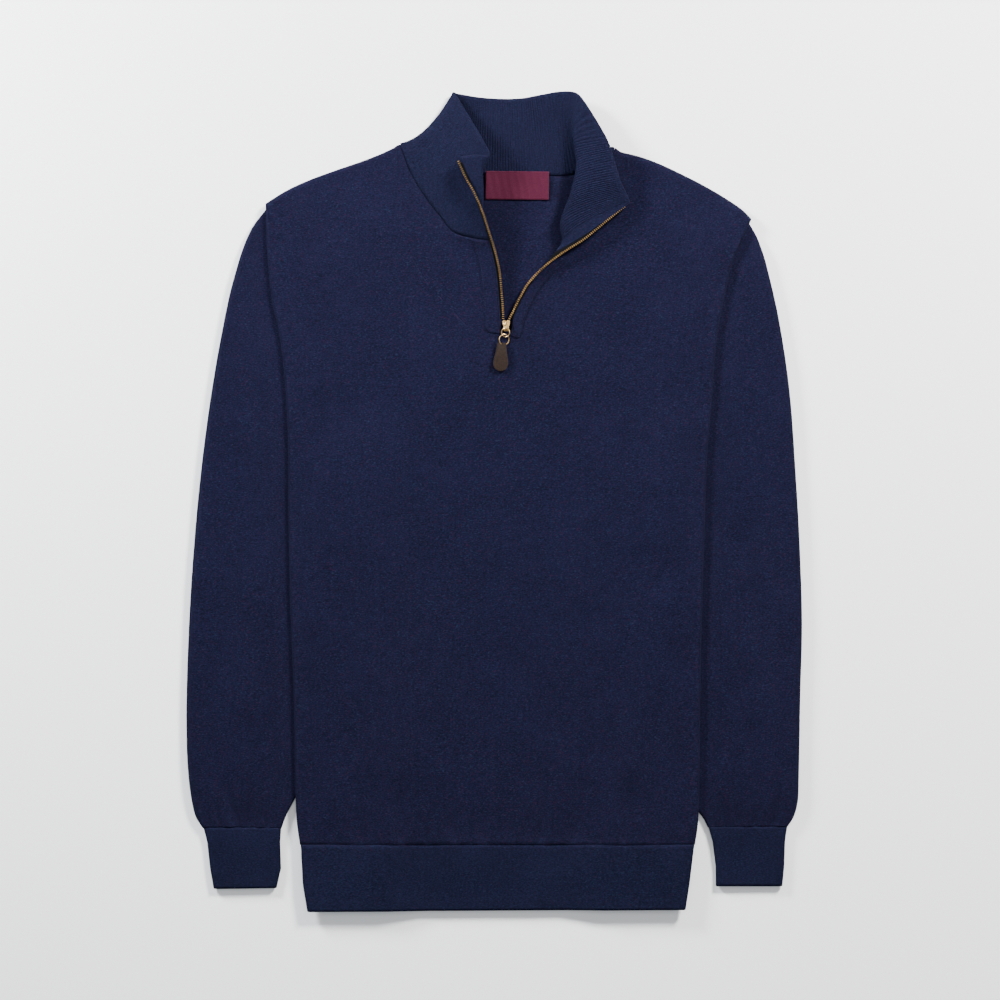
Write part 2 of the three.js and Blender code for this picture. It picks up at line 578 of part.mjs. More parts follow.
// A flattened tube's ring from its inner fold to its outer one and back over the top.
// Each fold turns square to its edge: the last two values point from the tube's middle over the edges.
function ring(inner, outer, half, bottomAt, topAt, bottomShares, topShares, overInner, overOuter, bow = () => 0) {
  const start = inner.clone().addScaledVector(overInner, -half);
  const end = outer.clone().addScaledVector(overOuter, -half);
  const span = (corner) => (topAt(corner) - bottomAt(corner)) / 2;
  const from = start.clone().addScaledVector(overInner, -span(start));
  const to = end.clone().addScaledVector(overOuter, -span(end));
  const fold = (hub, over, angles) => angles.map((angle) => {
    const turn = THREE.MathUtils.degToRad(angle);
    const reach = span(hub);
    const out = hub.clone().addScaledVector(over, reach * Math.cos(turn));
    return out.setZ(bottomAt(hub) + reach + reach * Math.sin(turn));
  });
  const square = squareTo(to.clone().sub(from), new THREE.Vector3(-from.x, 0, 0));
  const at = (share) => new THREE.Vector3().lerpVectors(from, to, share).addScaledVector(square, bow(share));
  const low = bottomShares.map(at);
  const high = topShares.map((share) => at(1 - share));
  return [
    ...low.map((point) => point.setZ(bottomAt(point))),
    ...fold(to, overOuter, FOLD_ANGLES),
    ...high.map((point) => point.setZ(topAt(point))),
    ...fold(from, overInner, [...FOLD_ANGLES].reverse()),
  ];
}

// Sleeves, tucked by their inner edge under the body's side
const SLEEVE_HALF = SLEEVE_KNIT / 2;
const TUCKED_TOP = 3.45;
const SLEEVE_TOP = 6.65;
const SLEEVE_RISE_FROM = 3;
const SLEEVE_RISE_REACH = 20;
const CUFF_END_RISE = 0.45;
const CUFF_END_REACH = 40;
const SLEEVE_RINGS = 14;
const SLEEVE_BOTTOM_SHARES = evenly(4);
const SLEEVE_TOP_SHARES = evenly(10);

// A sleeve's open end follows the body's side by a bow in its rings, in millimetres, that its first rings lose
const BOW_REACH = 0.2;
const BOW_LEAN = 2.2;
function sleeve(name, table, gathers, side, bow) {
  const cuffY = table[table.length - 1].outY;
  const topAt = (point) => {
    const rise = smooth((outsideBody(point.x, point.y) - SLEEVE_RISE_FROM) / SLEEVE_RISE_REACH);
    const nearCuff = smooth((point.y - cuffY) / CUFF_END_REACH);
    const height = TUCKED_TOP + (SLEEVE_TOP - TUCKED_TOP) * rise * lerp(CUFF_END_RISE, 1, nearCuff);
    return Math.max(TUCKED_TOP, height - gatherDepth(gathers, cuffY, point.x, point.y) * rise);
  };
  const outerRows = table.map((row) => new THREE.Vector3(row.outX, row.outY, 0));
  const innerRows = table.map((row) => new THREE.Vector3(row.inX, row.inY, 0));
  const outerCurve = new THREE.CatmullRomCurve3(outerRows, false, 'centripetal');
  const innerCurve = new THREE.CatmullRomCurve3(innerRows, false, 'centripetal');
  const sections = evenly(SLEEVE_RINGS).map((share) => {
    const inner = innerCurve.getPoint(share);
    const outer = outerCurve.getPoint(share);
    const reach = outer.clone().sub(inner);
    return ring(
      inner, outer, SLEEVE_HALF, () => SLEEVE_HALF, topAt, SLEEVE_BOTTOM_SHARES, SLEEVE_TOP_SHARES,
      squareTo(innerCurve.getTangent(share), reach.clone().negate()),
      squareTo(outerCurve.getTangent(share), reach),
      (across) => bow * clamp(1 - share / BOW_REACH, 0, 1) * Math.sin(Math.PI * across ** BOW_LEAN));
  });
  const turned = side < 0 ? sections : sections.map((section) => [...section].reverse());
  const sheet = grid(turned[0].length, turned.length, (i, j) => turned[j][i], true);
  piece(name, wall(sheet, SLEEVE_KNIT), knit());
}
sleeve('sleeve_left', LEFT_SLEEVE, LEFT_CUFF_GATHERS, -1, 0);
sleeve('sleeve_right', RIGHT_SLEEVE, RIGHT_CUFF_GATHERS, 1, 11);

// A ribbed band as a flattened tube, its upper face raised in ribs
function ribbedTube(name, table, bottomAt, topAt, levels, facing) {
  const width = Math.hypot(table[0].outX - table[0].inX, table[0].outY - table[0].inY);
  const ribs = Math.round(width / RIB_STEP);
  const half = RIB_KNIT / 2;
  const topShares = evenly(ribs);
  const sections = table.map((row) => {
    const inner = new THREE.Vector3(row.inX, row.inY, 0);
    const outer = new THREE.Vector3(row.outX, row.outY, 0);
    const over = outer.clone().sub(inner).normalize();
    return ring(inner, outer, half, bottomAt, topAt, levels, topShares, over.clone().negate(), over);
  });
  const turned = facing < 0 ? sections : sections.map((section) => [...section].reverse());
  const count = turned[0].length;
  const sheet = grid(count, turned.length, (i, j) => turned[j][i], true);
  const firstRib = facing < 0 ? levels.length + FOLD_ANGLES.length : FOLD_ANGLES.length;
  const rise = (k) => {
    const place = (k % count) - firstRib;
    return place > 0 && place < ribs && place % 2 === 1 ? RIB_RISE : 0;
  };
  piece(name, wall(sheet, RIB_KNIT, rise), ribbed());
}
const CUFF_SPACE = 1.0;
const HEM_SPACE = 1.2;
const CUFF_BOTTOM_SHARES = evenly(3);
const HEM_BOTTOM_SHARES = [0, 0.1, 0.2, 0.3, 0.5, 0.7, 0.8, 0.9, 1];
const cuffBottom = () => RIB_KNIT / 2;
const cuffTop = () => cuffBottom() + RIB_KNIT + CUFF_SPACE;
ribbedTube('cuff_left', LEFT_CUFF, cuffBottom, cuffTop, CUFF_BOTTOM_SHARES, -1);
ribbedTube('cuff_right', RIGHT_CUFF, cuffBottom, cuffTop, CUFF_BOTTOM_SHARES, 1);
const hemBottom = (point) => RIB_KNIT / 2 + lift(point.x, point.y);
const hemTop = (point) => hemBottom(point) + RIB_KNIT + HEM_SPACE;
ribbedTube('hem_rib', HEM, hemBottom, hemTop, HEM_BOTTOM_SHARES, -1);

// Collar, a wall through its stations with ribs on the side that shows
const COLLAR_ROWS = 6;
const COLLAR_TENSION = 0.45;
const COLLAR_RIB_STEP = 2.3 * RIB_STEP;
const FOLD_STATION = 8;
const collarCurve = (names) => new THREE.CatmullRomCurve3(
  COLLAR.map((row) => new THREE.Vector3(row[names[0]], row[names[1]], row[names[2]])),
  false, 'catmullrom', COLLAR_TENSION);
const seamCurve = collarCurve(['seamX', 'seamY', 'seamZ']);
const pullCurve = collarCurve(['pullX', 'pullY', 'pullZ']);
const topCurve = collarCurve(['topX', 'topY', 'topZ']);
function collarPoint(share, up) {
  const seam = seamCurve.getPoint(share);
  const pull = pullCurve.getPoint(share);
  const top = topCurve.getPoint(share);
  return seam.multiplyScalar((1 - up) ** 2)
    .addScaledVector(pull, 2 * up * (1 - up))
    .addScaledVector(top, up * up);
}
const COLLAR_SCAN = 600;
const NEARLY = 1e-6;
const collarReach = evenly(COLLAR_SCAN).reduce((run, share, k, all) => {
  const step = k === 0 ? 0 : collarPoint(share, 0.5).distanceTo(collarPoint(all[k - 1], 0.5));
  return [...run, (run[k - 1] ?? 0) + step];
}, []);
const collarLength = collarReach[COLLAR_SCAN];
const COLLAR_COLUMNS = 2 * Math.round(collarLength / COLLAR_RIB_STEP);
const collarShares = evenly(COLLAR_COLUMNS).map((part) => {
  const k = Math.max(1, collarReach.findIndex((reach) => reach >= part * collarLength - NEARLY));
  const inside = (part * collarLength - collarReach[k - 1]) / (collarReach[k] - collarReach[k - 1]);
  return (k - 1 + inside) / COLLAR_SCAN;
});
const FOLD_SHARE = FOLD_STATION / (COLLAR.length - 1);
const collar = grid(
  collarShares.length, COLLAR_ROWS, (i, j) => collarPoint(collarShares[i], j / (COLLAR_ROWS - 1)));
const PLACKET_COLUMNS = Math.round(PLACKET_WIDTH / (collarLength / COLLAR_COLUMNS));
const collarRib = (outside) => (k) => {
  const column = k % collarShares.length;
  const clearOfBand = column > PLACKET_COLUMNS && column < COLLAR_COLUMNS - PLACKET_COLUMNS;
  const showsOutside = collarShares[column] < FOLD_SHARE;
  return clearOfBand && column % 2 === 1 && showsOutside === outside ? RIB_RISE : 0;
};
piece('collar', wall(collar, COLLAR_KNIT, collarRib(false), collarRib(true)), ribbed());

// The cloth's points beside one zip edge, row by row: on the edge, next to it, and the way the cloth faces
function edgeRows(sheet, columns, edgeColumn, nextColumn, keep) {
  const normals = facings(sheet);
  return keep.map((row) => ({
    edge: sheet.points[row * columns + edgeColumn],
    next: sheet.points[row * columns + nextColumn],
    edgeNormal: normals[row * columns + edgeColumn],
    nextNormal: normals[row * columns + nextColumn],
  }));
}
const besideRows = (beside, upTo) => beside
  .map((share, k) => ({ share, row: k + ROWS_BELOW.length }))
  .filter(({ share }) => share > 0 && share <= upTo)
  .map(({ row }) => row);
const LEFT_BAND_TO = 0.99;
const RIGHT_BAND_TO = 0.39;
const leftEdgeRows = edgeRows(
  leftFront, leftColumns.length, leftColumns.length - 1, leftColumns.length - 2,
  besideRows(LEFT_BESIDE, LEFT_BAND_TO));
const rightEdgeRows = edgeRows(
  rightFront, rightColumns.length, 0, 1, besideRows(RIGHT_BESIDE, RIGHT_BAND_TO));
const collarEdgeRows = (edgeColumn, nextColumn) => edgeRows(
  collar, collarShares.length, edgeColumn, nextColumn, evenly(COLLAR_ROWS - 1).map((share, row) => row));

// Plackets: a band on the outer side of the front beside each row of teeth
const PLACKET_SETBACK = 0.2;
function placket(name, beside, side) {
  const offset = JERSEY / 2 + SEAM_GAP + BAND / 2;
  const band = grid(2, beside.length, (i, j) => {
    const row = beside[j];
    const inward = (side < 0 ? i === 1 : i === 0) ? PLACKET_SETBACK : 1;
    const normal = row.edgeNormal.clone().lerp(row.nextNormal, inward).normalize();
    return row.edge.clone().lerp(row.next, inward).addScaledVector(normal, offset);
  });
  piece(name, wall(band, BAND), knit());
}
placket('placket_left', leftEdgeRows, -1);
placket('placket_right', rightEdgeRows, 1);

// Zip tapes, from just beyond the cloth's edge to the teeth
const TAPE_ROWS = 24;
const TAPE_GAP = 1.7;
const TAPE_START_Y = 167.6;
function zipTape(name, clothRows, chainRows, side) {
  const edge = rail(clothRows
    .filter((row) => row.edge.y > TAPE_START_Y)
    .map((row) => row.edge.clone().add(row.edge.clone().sub(row.next).setLength(TAPE_GAP))));
  const chain = rail(chainRows.map(spot));
  const strip = grid(3, TAPE_ROWS, (i, j) => {
    const share = j / (TAPE_ROWS - 1);
    const from = edge(share);
    const to = chain(share);
    const across = [0, 0.5, 1 + TAPE_OVERHANG / from.distanceTo(to)][side < 0 ? i : 2 - i];
    return from.lerp(to, across);
  });
  piece(name, wall(strip, TAPE), finish(0x14151a, 0.85));
}
zipTape('zip_tape_left', [...leftEdgeRows, ...collarEdgeRows(0, 1)], LEFT_CHAIN, -1);
zipTape(
  'zip_tape_right', [...rightEdgeRows, ...collarEdgeRows(COLLAR_COLUMNS, COLLAR_COLUMNS - 1)],
  RIGHT_CHAIN, 1);

// The sides and sleeve fullness turned under the body, one rounded slab a side, layered at its edges
const SLAB_TOP = LIFT - SEAM_GAP;
const SLAB_ROWS = rows(['y', 'from'], [
  [-364, 2.5], [-362, 2], [-320, 2], [-290, 3], [-268, 13], [-246, 14.5], [-150, 13.8], [-50, 13.6],
  [-14, 13.8],
  [-4, 15.5],
]);
const SLAB_END_SQUASH = 0.7;
const SLAB_FALL = rows(['in', 'z'], [[30, SLAB_TOP], [64, SLAB_TOP], [84, 2.3], [95, 0.9]]);
const SLAB_FOOT = 95;
const SLAB_EDGE = rows(['in', 'z'], [
  [0.8, 0], [0.1, 0.5], [0.1, 1.5], [0.9, 2.05], [0.1, 2.6], [0.1, 3.6], [0.9, SLAB_TOP],
]);
function turnedSide(name, side) {
  const trail = SIDE_TRACES[side < 0 ? 0 : 1];
  const hemTrail = HEM_TRACES[side < 0 ? 0 : 1];
  const whole = [...[...hemTrail].reverse(), ...trail];
  const edgeX = (y) => {
    const k = Math.max(1, whole.findIndex((point) => point.y >= y));
    return lerp(whole[k - 1].x, whole[k].x, (y - whole[k - 1].y) / (whole[k].y - whole[k - 1].y || 1));
  };
  const sections = SLAB_ROWS.map((row, k) => {
    const ends = k === 0 || k === SLAB_ROWS.length - 1;
    const squash = ends ? SLAB_END_SQUASH : 1;
    const at = (inward, z) => new THREE.Vector3(edgeX(row.y) - side * inward, row.y, z * squash);
    const outerEdge = SLAB_EDGE.map((step) => at(row.from + step.in, step.z));
    const topRun = SLAB_FALL.map((step) => at(step.in, step.z));
    const foot = [at(SLAB_FOOT, 0), at(SLAB_FOOT / 2, 0)];
    const loop = [...outerEdge, ...topRun, ...foot];
    return side < 0 ? loop : loop.reverse();
  });
  piece(name, loft(sections), knit());
}
turnedSide('turned_side_left', -1);
turnedSide('turned_side_right', 1);

// The bare neck label, stitched by its top over the back neck seam
const LABEL_SIZE = { width: 58, height: 25.6 };
const LABEL_MIDDLE = { x: 21.2, y: 291.2 };
const LABEL_TILT = THREE.MathUtils.degToRad(-0.6);
const LABEL_COLUMNS = 7;
const LABEL_ROWS = 4;
const LABEL_HEIGHTS = { foot: 2.95, top: 3.95, wave: 0.25, waves: 1.5 };
const label = grid(LABEL_COLUMNS, LABEL_ROWS, (i, j) => {
  const along = i / (LABEL_COLUMNS - 1) - 0.5;
  const level = j / (LABEL_ROWS - 1);
  const across = along * LABEL_SIZE.width;
  const up = (level - 0.5) * LABEL_SIZE.height;
  const wave = LABEL_HEIGHTS.wave * Math.cos(along * 2 * Math.PI * LABEL_HEIGHTS.waves);
  const height = lerp(LABEL_HEIGHTS.foot, LABEL_HEIGHTS.top, level) + wave;
  return new THREE.Vector3(
    LABEL_MIDDLE.x + across * Math.cos(LABEL_TILT) - up * Math.sin(LABEL_TILT),
    LABEL_MIDDLE.y + across * Math.sin(LABEL_TILT) + up * Math.cos(LABEL_TILT),
    height,
  );
});
piece('neck_label', wall(label, LABEL_CLOTH), finish(0x70374f, 0.6));

// Slider: a tapered body with a bridge that the pull's link hangs in
const SLIDER = { x: 11, bottom: 4.9, top: 8, notchY: 165.9 };
const SLIDER_SIDE = rows(['half', 'y'], [
  [1.9, 156.7], [2.6, 157.7], [2.6, 161.2], [3.5, 163.7], [3.5, 165.7], [2.4, 166.9], [0.9, 166.9],
]);
const BRIDGE = { width: 1.6, low: 157.1, high: 164.6, foot: 7.5, top: 11.8, cut: 1 };
const BRIDGE_HOLE = { low: 158.4, high: 163.2, top: 10.8, cut: 0.5 };
const LINK = { radius: 4, wire: 0.55, pitch: 8.4, roll: -21, heading: -8, pivot: [11, 159.4, 9.75] };
const RING = { radius: 4.9, wire: 0.55, pitch: 1.2, roll: 24.4, heading: -10.2, pivot: [9.97, 153.75, 9.15] };
const TAB = { thickness: 3, clearance: 0.3, pitch: 1, roll: 6, heading: -3, top: [6.9, 146.2, 8.95] };
const TAB_SIDE = rows(['down', 'half'], [
  [0, 2.9], [0.5, 3.6], [1.6, 4], [9, 5.1], [15.5, 6.5], [19, 6.9], [22.3, 6.2], [24.7, 4.4], [26.2, 1.5],
]);

function toManifold(geometry) {
  const bare = geometry.clone();
  bare.deleteAttribute('normal');
  bare.deleteAttribute('uv');
  const merged = mergeVertices(bare, 1e-4);
  return new wasm.Manifold(new wasm.Mesh({
    numProp: 3,
    vertProperties: Float32Array.from(merged.attributes.position.array),
    triVerts: Uint32Array.from(merged.index.array),
  }));
}
function fromManifold(body) {
  const mesh = body.getMesh();
  const geometry = new THREE.BufferGeometry();
  geometry.setAttribute('position', new THREE.Float32BufferAttribute(mesh.vertProperties, 3));
  geometry.setIndex(Array.from(mesh.triVerts));
  geometry.computeVertexNormals();
  return geometry;
}
function extrude(outline, depth, holes = []) {
  const shape = new THREE.Shape(outline.map(([a, b]) => new THREE.Vector2(a, b)));
  shape.holes = holes.map((hole) => new THREE.Path(hole.map(([a, b]) => new THREE.Vector2(a, b))));
  return new THREE.ExtrudeGeometry(shape, { depth, bevelEnabled: false });
}
const brass = () => finish(0xc9a04e, 0.3, 0.9);

const sliderBody = extrude([
  ...SLIDER_SIDE.map((step) => [SLIDER.x + step.half, step.y]),
  [SLIDER.x, SLIDER.notchY],
  ...SLIDER_SIDE.map((step) => [SLIDER.x - step.half, step.y]).reverse(),
], SLIDER.top - SLIDER.bottom).translate(0, 0, SLIDER.bottom);

// An arch's outline from its foot up, with its two top corners cut
const arch = ({ low, high, top, cut }, foot) => [
  [low, foot], [high, foot], [high, top - cut], [high - cut, top], [low + cut, top], [low, top - cut],
];
const bridge = extrude(arch(BRIDGE, BRIDGE.foot), BRIDGE.width, [arch(BRIDGE_HOLE, SLIDER.top).reverse()])
  .rotateX(Math.PI / 2)
  .rotateZ(Math.PI / 2)
  .translate(SLIDER.x - BRIDGE.width / 2, 0, 0);
piece('zip_slider', fromManifold(toManifold(sliderBody).add(toManifold(bridge))), brass());

// The link and the pull ring: each hangs from the point it turns on, dips by its pitch and leans by its roll
function hang(geometry, size, from) {
  return geometry
    .rotateY(THREE.MathUtils.degToRad(size.roll))
    .rotateX(THREE.MathUtils.degToRad(size.pitch))
    .rotateZ(THREE.MathUtils.degToRad(size.heading))
    .translate(...from);
}
const RING_SIDES = 8;
const RING_STEPS = 24;
const hungRing = (size, wire) => hang(
  new THREE.TorusGeometry(size.radius, wire, RING_SIDES, RING_STEPS).translate(0, -size.radius, 0),
  size, size.pivot);
piece('pull_link', hungRing(LINK, LINK.wire), brass());
piece('pull_ring', hungRing(RING, RING.wire), brass());

// The leather tab, with a tunnel by its top that the pull ring passes through
const tabOutline = [
  ...TAB_SIDE.map((step) => [step.half, -step.down]).reverse(),
  ...TAB_SIDE.map((step) => [-step.half, -step.down]),
];
const tabBody = hang(
  extrude(tabOutline, TAB.thickness).translate(0, 0, -TAB.thickness / 2), TAB, TAB.top);
const tunnel = hungRing(RING, RING.wire + TAB.clearance);
piece('pull_tab', fromManifold(toManifold(tabBody).subtract(toManifold(tunnel))), finish(0x453733, 0.7));

export default sweater;
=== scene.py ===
"""A quarter zip sweater in fine heathered knit, laid flat with its zip open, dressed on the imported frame.

Sizes are in millimetres until a mesh is made. Left and right are as seen from above, and +Y runs towards
the collar.
"""

import logging
import math
from dataclasses import dataclass, field
from enum import Enum
from typing import Callable, Sequence

import bpy
import numpy as np
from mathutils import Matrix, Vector

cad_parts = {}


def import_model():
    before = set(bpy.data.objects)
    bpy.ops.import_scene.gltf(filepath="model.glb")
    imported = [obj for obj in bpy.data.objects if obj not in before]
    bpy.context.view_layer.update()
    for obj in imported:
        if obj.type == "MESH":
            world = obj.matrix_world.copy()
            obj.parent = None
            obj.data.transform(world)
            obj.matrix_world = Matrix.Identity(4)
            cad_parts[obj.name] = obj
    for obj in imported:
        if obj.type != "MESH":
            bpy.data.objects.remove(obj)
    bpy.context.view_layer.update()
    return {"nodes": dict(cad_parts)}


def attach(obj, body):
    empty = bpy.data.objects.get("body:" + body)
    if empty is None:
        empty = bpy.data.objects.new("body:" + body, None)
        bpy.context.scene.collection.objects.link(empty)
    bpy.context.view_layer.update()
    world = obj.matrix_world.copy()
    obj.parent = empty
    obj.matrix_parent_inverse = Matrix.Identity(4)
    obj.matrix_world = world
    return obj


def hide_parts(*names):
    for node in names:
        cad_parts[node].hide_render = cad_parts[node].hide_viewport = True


LOG = logging.getLogger("sweater")
METRE = 0.001
GARMENT = "garment"

Points = np.ndarray
Curve = Callable[[np.ndarray], np.ndarray]


def columns(names: str, rows: Sequence[Sequence[float]]) -> dict[str, np.ndarray]:
    """Turns a short table into named columns.

    Args:
        names: The columns' names, parted by spaces.
        rows: One row for each section, fold or station.

    Returns:
        Each column as an array, under its name.
    """
    table = np.array(rows, float)
    return {name: table[:, k] for k, name in enumerate(names.split())}


def smooth(value: np.ndarray | float) -> np.ndarray | float:
    """Eases from 0 to 1."""
    v = np.clip(value, 0, 1)
    return v * v * (3 - 2 * v)


def mix(a: np.ndarray | float, b: np.ndarray | float, share: np.ndarray | float) -> np.ndarray | float:
    """A value between a and b."""
    return a + (b - a) * share


class Spline(Enum):
    """How a curve passes through its points."""

    CENTRIPETAL = "centripetal"
    EASED = "eased"


COLLAR_TENSION = 0.45


def spline_points(points: Points, share: np.ndarray, kind: Spline) -> Points:
    """Points on a smooth curve, by the share of its stations.

    Args:
        points: The stations, a row each.
        share: Where to read the curve, 0 to 1.
        kind: The way that it passes through them.

    Returns:
        A point for each share.
    """
    last = len(points) - 1
    place = np.clip(np.asarray(share, float), 0, 1) * last
    k = np.minimum(place.astype(int), last - 1)
    t = (place - k)[:, None]
    padded = np.vstack([2 * points[0] - points[1], points, 2 * points[-1] - points[-2]])
    p0, p1, p2, p3 = (padded[k + step] for step in range(4))
    if kind is Spline.CENTRIPETAL:
        d0, d1, d2 = (
            np.maximum(np.linalg.norm(b - a, axis=1) ** 0.5, 1e-4)[:, None]
            for a, b in ((p0, p1), (p1, p2), (p2, p3))
        )
        m1 = ((p1 - p0) / d0 - (p2 - p0) / (d0 + d1) + (p2 - p1) / d1) * d1
        m2 = ((p2 - p1) / d1 - (p3 - p1) / (d1 + d2) + (p3 - p2) / d2) * d1
    else:
        m1 = COLLAR_TENSION * (p2 - p0)
        m2 = COLLAR_TENSION * (p3 - p1)
    a = 2 * p1 - 2 * p2 + m1 + m2
    b = -3 * p1 + 3 * p2 - 2 * m1 - m2
    return ((a * t + b) * t + m1) * t + p1


def rail(points: Points) -> Curve:
    """A smooth curve read by the share of its length."""
    shares = np.linspace(0, 1, 60 * len(points) + 1)
    dense = spline_points(points, shares, Spline.CENTRIPETAL)
    run = np.concatenate([[0], np.cumsum(np.linalg.norm(np.diff(dense, axis=0), axis=1))])
    return lambda share: spline_points(
        points, np.interp(np.clip(share, 0, 1) * run[-1], run, shares), Spline.CENTRIPETAL)


def line(a: Points, b: Points) -> Curve:
    """The straight line from a to b."""
    return lambda share: a + (b - a) * np.atleast_1d(share)[:, None]


def inset(curve: Curve, by: float) -> Curve:
    """A curve moved sideways in plan, to its left by a positive distance."""

    def moved(share: np.ndarray) -> Points:
        """Reads the moved curve."""
        share = np.atleast_1d(share)
        ahead = curve(np.minimum(1, share + 0.01)) - curve(np.maximum(0, share - 0.01))
        across = np.stack([-ahead[:, 1], ahead[:, 0], np.zeros(len(ahead))], 1)
        return curve(share) + by * across / np.linalg.norm(across, axis=1)[:, None]

    return moved


def flat_of(curve: Curve) -> Curve:
    """A curve's plan, with no height."""
    return lambda share: curve(np.atleast_1d(share)) * np.array([1.0, 1.0, 0.0])


ENDS_REACH = 12


def ends_at(curve: Curve, start: Points, end: Points) -> Curve:
    """A curve whose two ends are drawn to the points given."""
    first = start - curve(np.array([0.0]))[0]
    last = end - curve(np.array([1.0]))[0]

    def drawn(share: np.ndarray) -> Points:
        """Reads the drawn curve."""
        share = np.atleast_1d(share)
        near = np.maximum(0, 1 - share * ENDS_REACH)[:, None]
        far = np.maximum(0, 1 - (1 - share) * ENDS_REACH)[:, None]
        return curve(share) + near * first + far * last

    return drawn


def joined(first: Curve, second: Curve, at: float) -> Curve:
    """Two curves end to end, the second from the share given."""

    def both(share: np.ndarray) -> Points:
        """Reads whichever curve holds each share."""
        share = np.atleast_1d(share)
        low = first(np.minimum(share / at, 1))
        high = second(np.maximum((share - at) / (1 - at), 0))
        return np.where((share <= at)[:, None], low, high)

    return both


def patch(bottom: Curve, top: Curve, left: Curve, right: Curve, u: np.ndarray, v: np.ndarray) -> Points:
    """Points of a patch between four curves.

    Args:
        bottom: The curve at v 0, by u.
        top: The curve at v 1, by u.
        left: The curve at u 0, by v.
        right: The curve at u 1, by v.
        u: Shares across.
        v: Shares up.

    Returns:
        A grid of points, a row for each v.
    """
    across = u[None, :, None]
    up = v[:, None, None]
    low, high = bottom(u)[None], top(u)[None]
    one, two = left(v)[:, None], right(v)[:, None]
    ends = np.array([0.0, 1.0])
    low_ends, high_ends = bottom(ends)[None], top(ends)[None]
    corners = low_ends[:, :1] * (1 - across) * (1 - up) + low_ends[:, 1:] * across * (1 - up)
    corners = corners + high_ends[:, :1] * (1 - across) * up + high_ends[:, 1:] * across * up
    return low * (1 - up) + high * up + one * (1 - across) + two * across - corners


def nearest(chains: Sequence[Points], x: np.ndarray, y: np.ndarray) -> tuple[np.ndarray, np.ndarray]:
    """The nearest place to each x, y on a set of chains of points, in plan.

    Args:
        chains: Chains of points, each joined by straight pieces.
        x: Places across.
        y: Places up.

    Returns:
        How far it is, and its height.
    """
    best = np.full(np.shape(x), np.inf)
    height = np.zeros(np.shape(x))
    for chain in chains:
        for a, b in zip(chain[:-1], chain[1:]):
            run = b[:2] - a[:2]
            share = np.clip(((x - a[0]) * run[0] + (y - a[1]) * run[1]) / max(run @ run, 1e-12), 0, 1)
            far = np.hypot(x - a[0] - share * run[0], y - a[1] - share * run[1])
            closer = far < best
            best = np.where(closer, far, best)
            height = np.where(closer, a[2] + (b[2] - a[2]) * share, height)
    return best, height


@dataclass
class Sheet:
    """Points in millimetres and the quads between them, anticlockwise from the face side."""

    points: Points
    quads: np.ndarray

    @classmethod
    def grid(cls, points: Points, wrap: bool = False) -> "Sheet":
        """A sheet from a grid of points, closed across if it wraps."""
        rows, across = points.shape[:2]
        index = np.arange(rows * across).reshape(rows, across)
        if wrap:
            index = np.hstack([index, index[:, :1]])
        quads = np.stack([index[:-1, :-1], index[:-1, 1:], index[1:, 1:], index[1:, :-1]], -1)
        return cls(points.reshape(-1, 3), quads.reshape(-1, 4))

    def welded(self, other: "Sheet") -> "Sheet":
        """This sheet and another, joined where their points meet."""
        points = np.vstack([self.points, other.points])
        quads = np.vstack([self.quads, other.quads + len(self.points)])
        keys = np.round(points, 2)
        _, first, same = np.unique(keys, axis=0, return_index=True, return_inverse=True)
        return Sheet(points[first], same.reshape(-1)[quads])

    def facings(self) -> Points:
        """The direction that each point faces."""
        a, b, c, d = (self.points[self.quads[:, k]] for k in range(4))
        normal = np.cross(c - a, d - b)
        total = np.zeros_like(self.points)
        for k in range(4):
            np.add.at(total, self.quads[:, k], normal)
        return total / np.maximum(np.linalg.norm(total, axis=1)[:, None], 1e-12)

    def open_edges(self) -> np.ndarray:
        """The edges that only one quad has, in its direction."""
        edges = np.vstack([self.quads[:, [k, (k + 1) % 4]] for k in range(4)])
        count = len(self.points)
        forward = edges[:, 0] * count + edges[:, 1]
        back = edges[:, 1] * count + edges[:, 0]
        return edges[~np.isin(forward, back)]


EDGE_BULGE = 0.34


def wall(
    sheet: Sheet, thickness: float, face_rise: np.ndarray | float = 0.0, back_rise: np.ndarray | float = 0.0,
) -> tuple[Points, np.ndarray]:
    """A closed cloth wall round a sheet, with its free edges rounded.

    Args:
        sheet: The cloth's middle surface.
        thickness: Its plain thickness.
        face_rise: What its face stands over that, by point.
        back_rise: The same for its back.

    Returns:
        The wall's points and its quads.
    """
    normals = sheet.facings()
    count = len(sheet.points)
    face = sheet.points + normals * (thickness / 2 + np.broadcast_to(face_rise, count))[:, None]
    back = sheet.points - normals * (thickness / 2 + np.broadcast_to(back_rise, count))[:, None]
    edges = sheet.open_edges()
    along = sheet.points[edges[:, 1]] - sheet.points[edges[:, 0]]
    along /= np.maximum(np.linalg.norm(along, axis=1)[:, None], 1e-9)
    outward = np.zeros_like(sheet.points)
    for end in range(2):
        np.add.at(outward, edges[:, end], np.cross(along, normals[edges[:, end]]))
    on_edge = np.unique(edges)
    place = np.zeros(count, int)
    place[on_edge] = np.arange(len(on_edge)) + 2 * count
    out = outward[on_edge] / np.maximum(np.linalg.norm(outward[on_edge], axis=1)[:, None], 1e-9)
    rim = (face[on_edge] + back[on_edge]) / 2 + out * thickness * EDGE_BULGE
    start, end = edges[:, 0], edges[:, 1]
    quads = np.vstack([
        sheet.quads,
        sheet.quads[:, ::-1] + count,
        np.stack([end, start, place[start], place[end]], 1),
        np.stack([place[end], place[start], start + count, end + count], 1),
    ])
    return np.vstack([face, back, rim]), quads


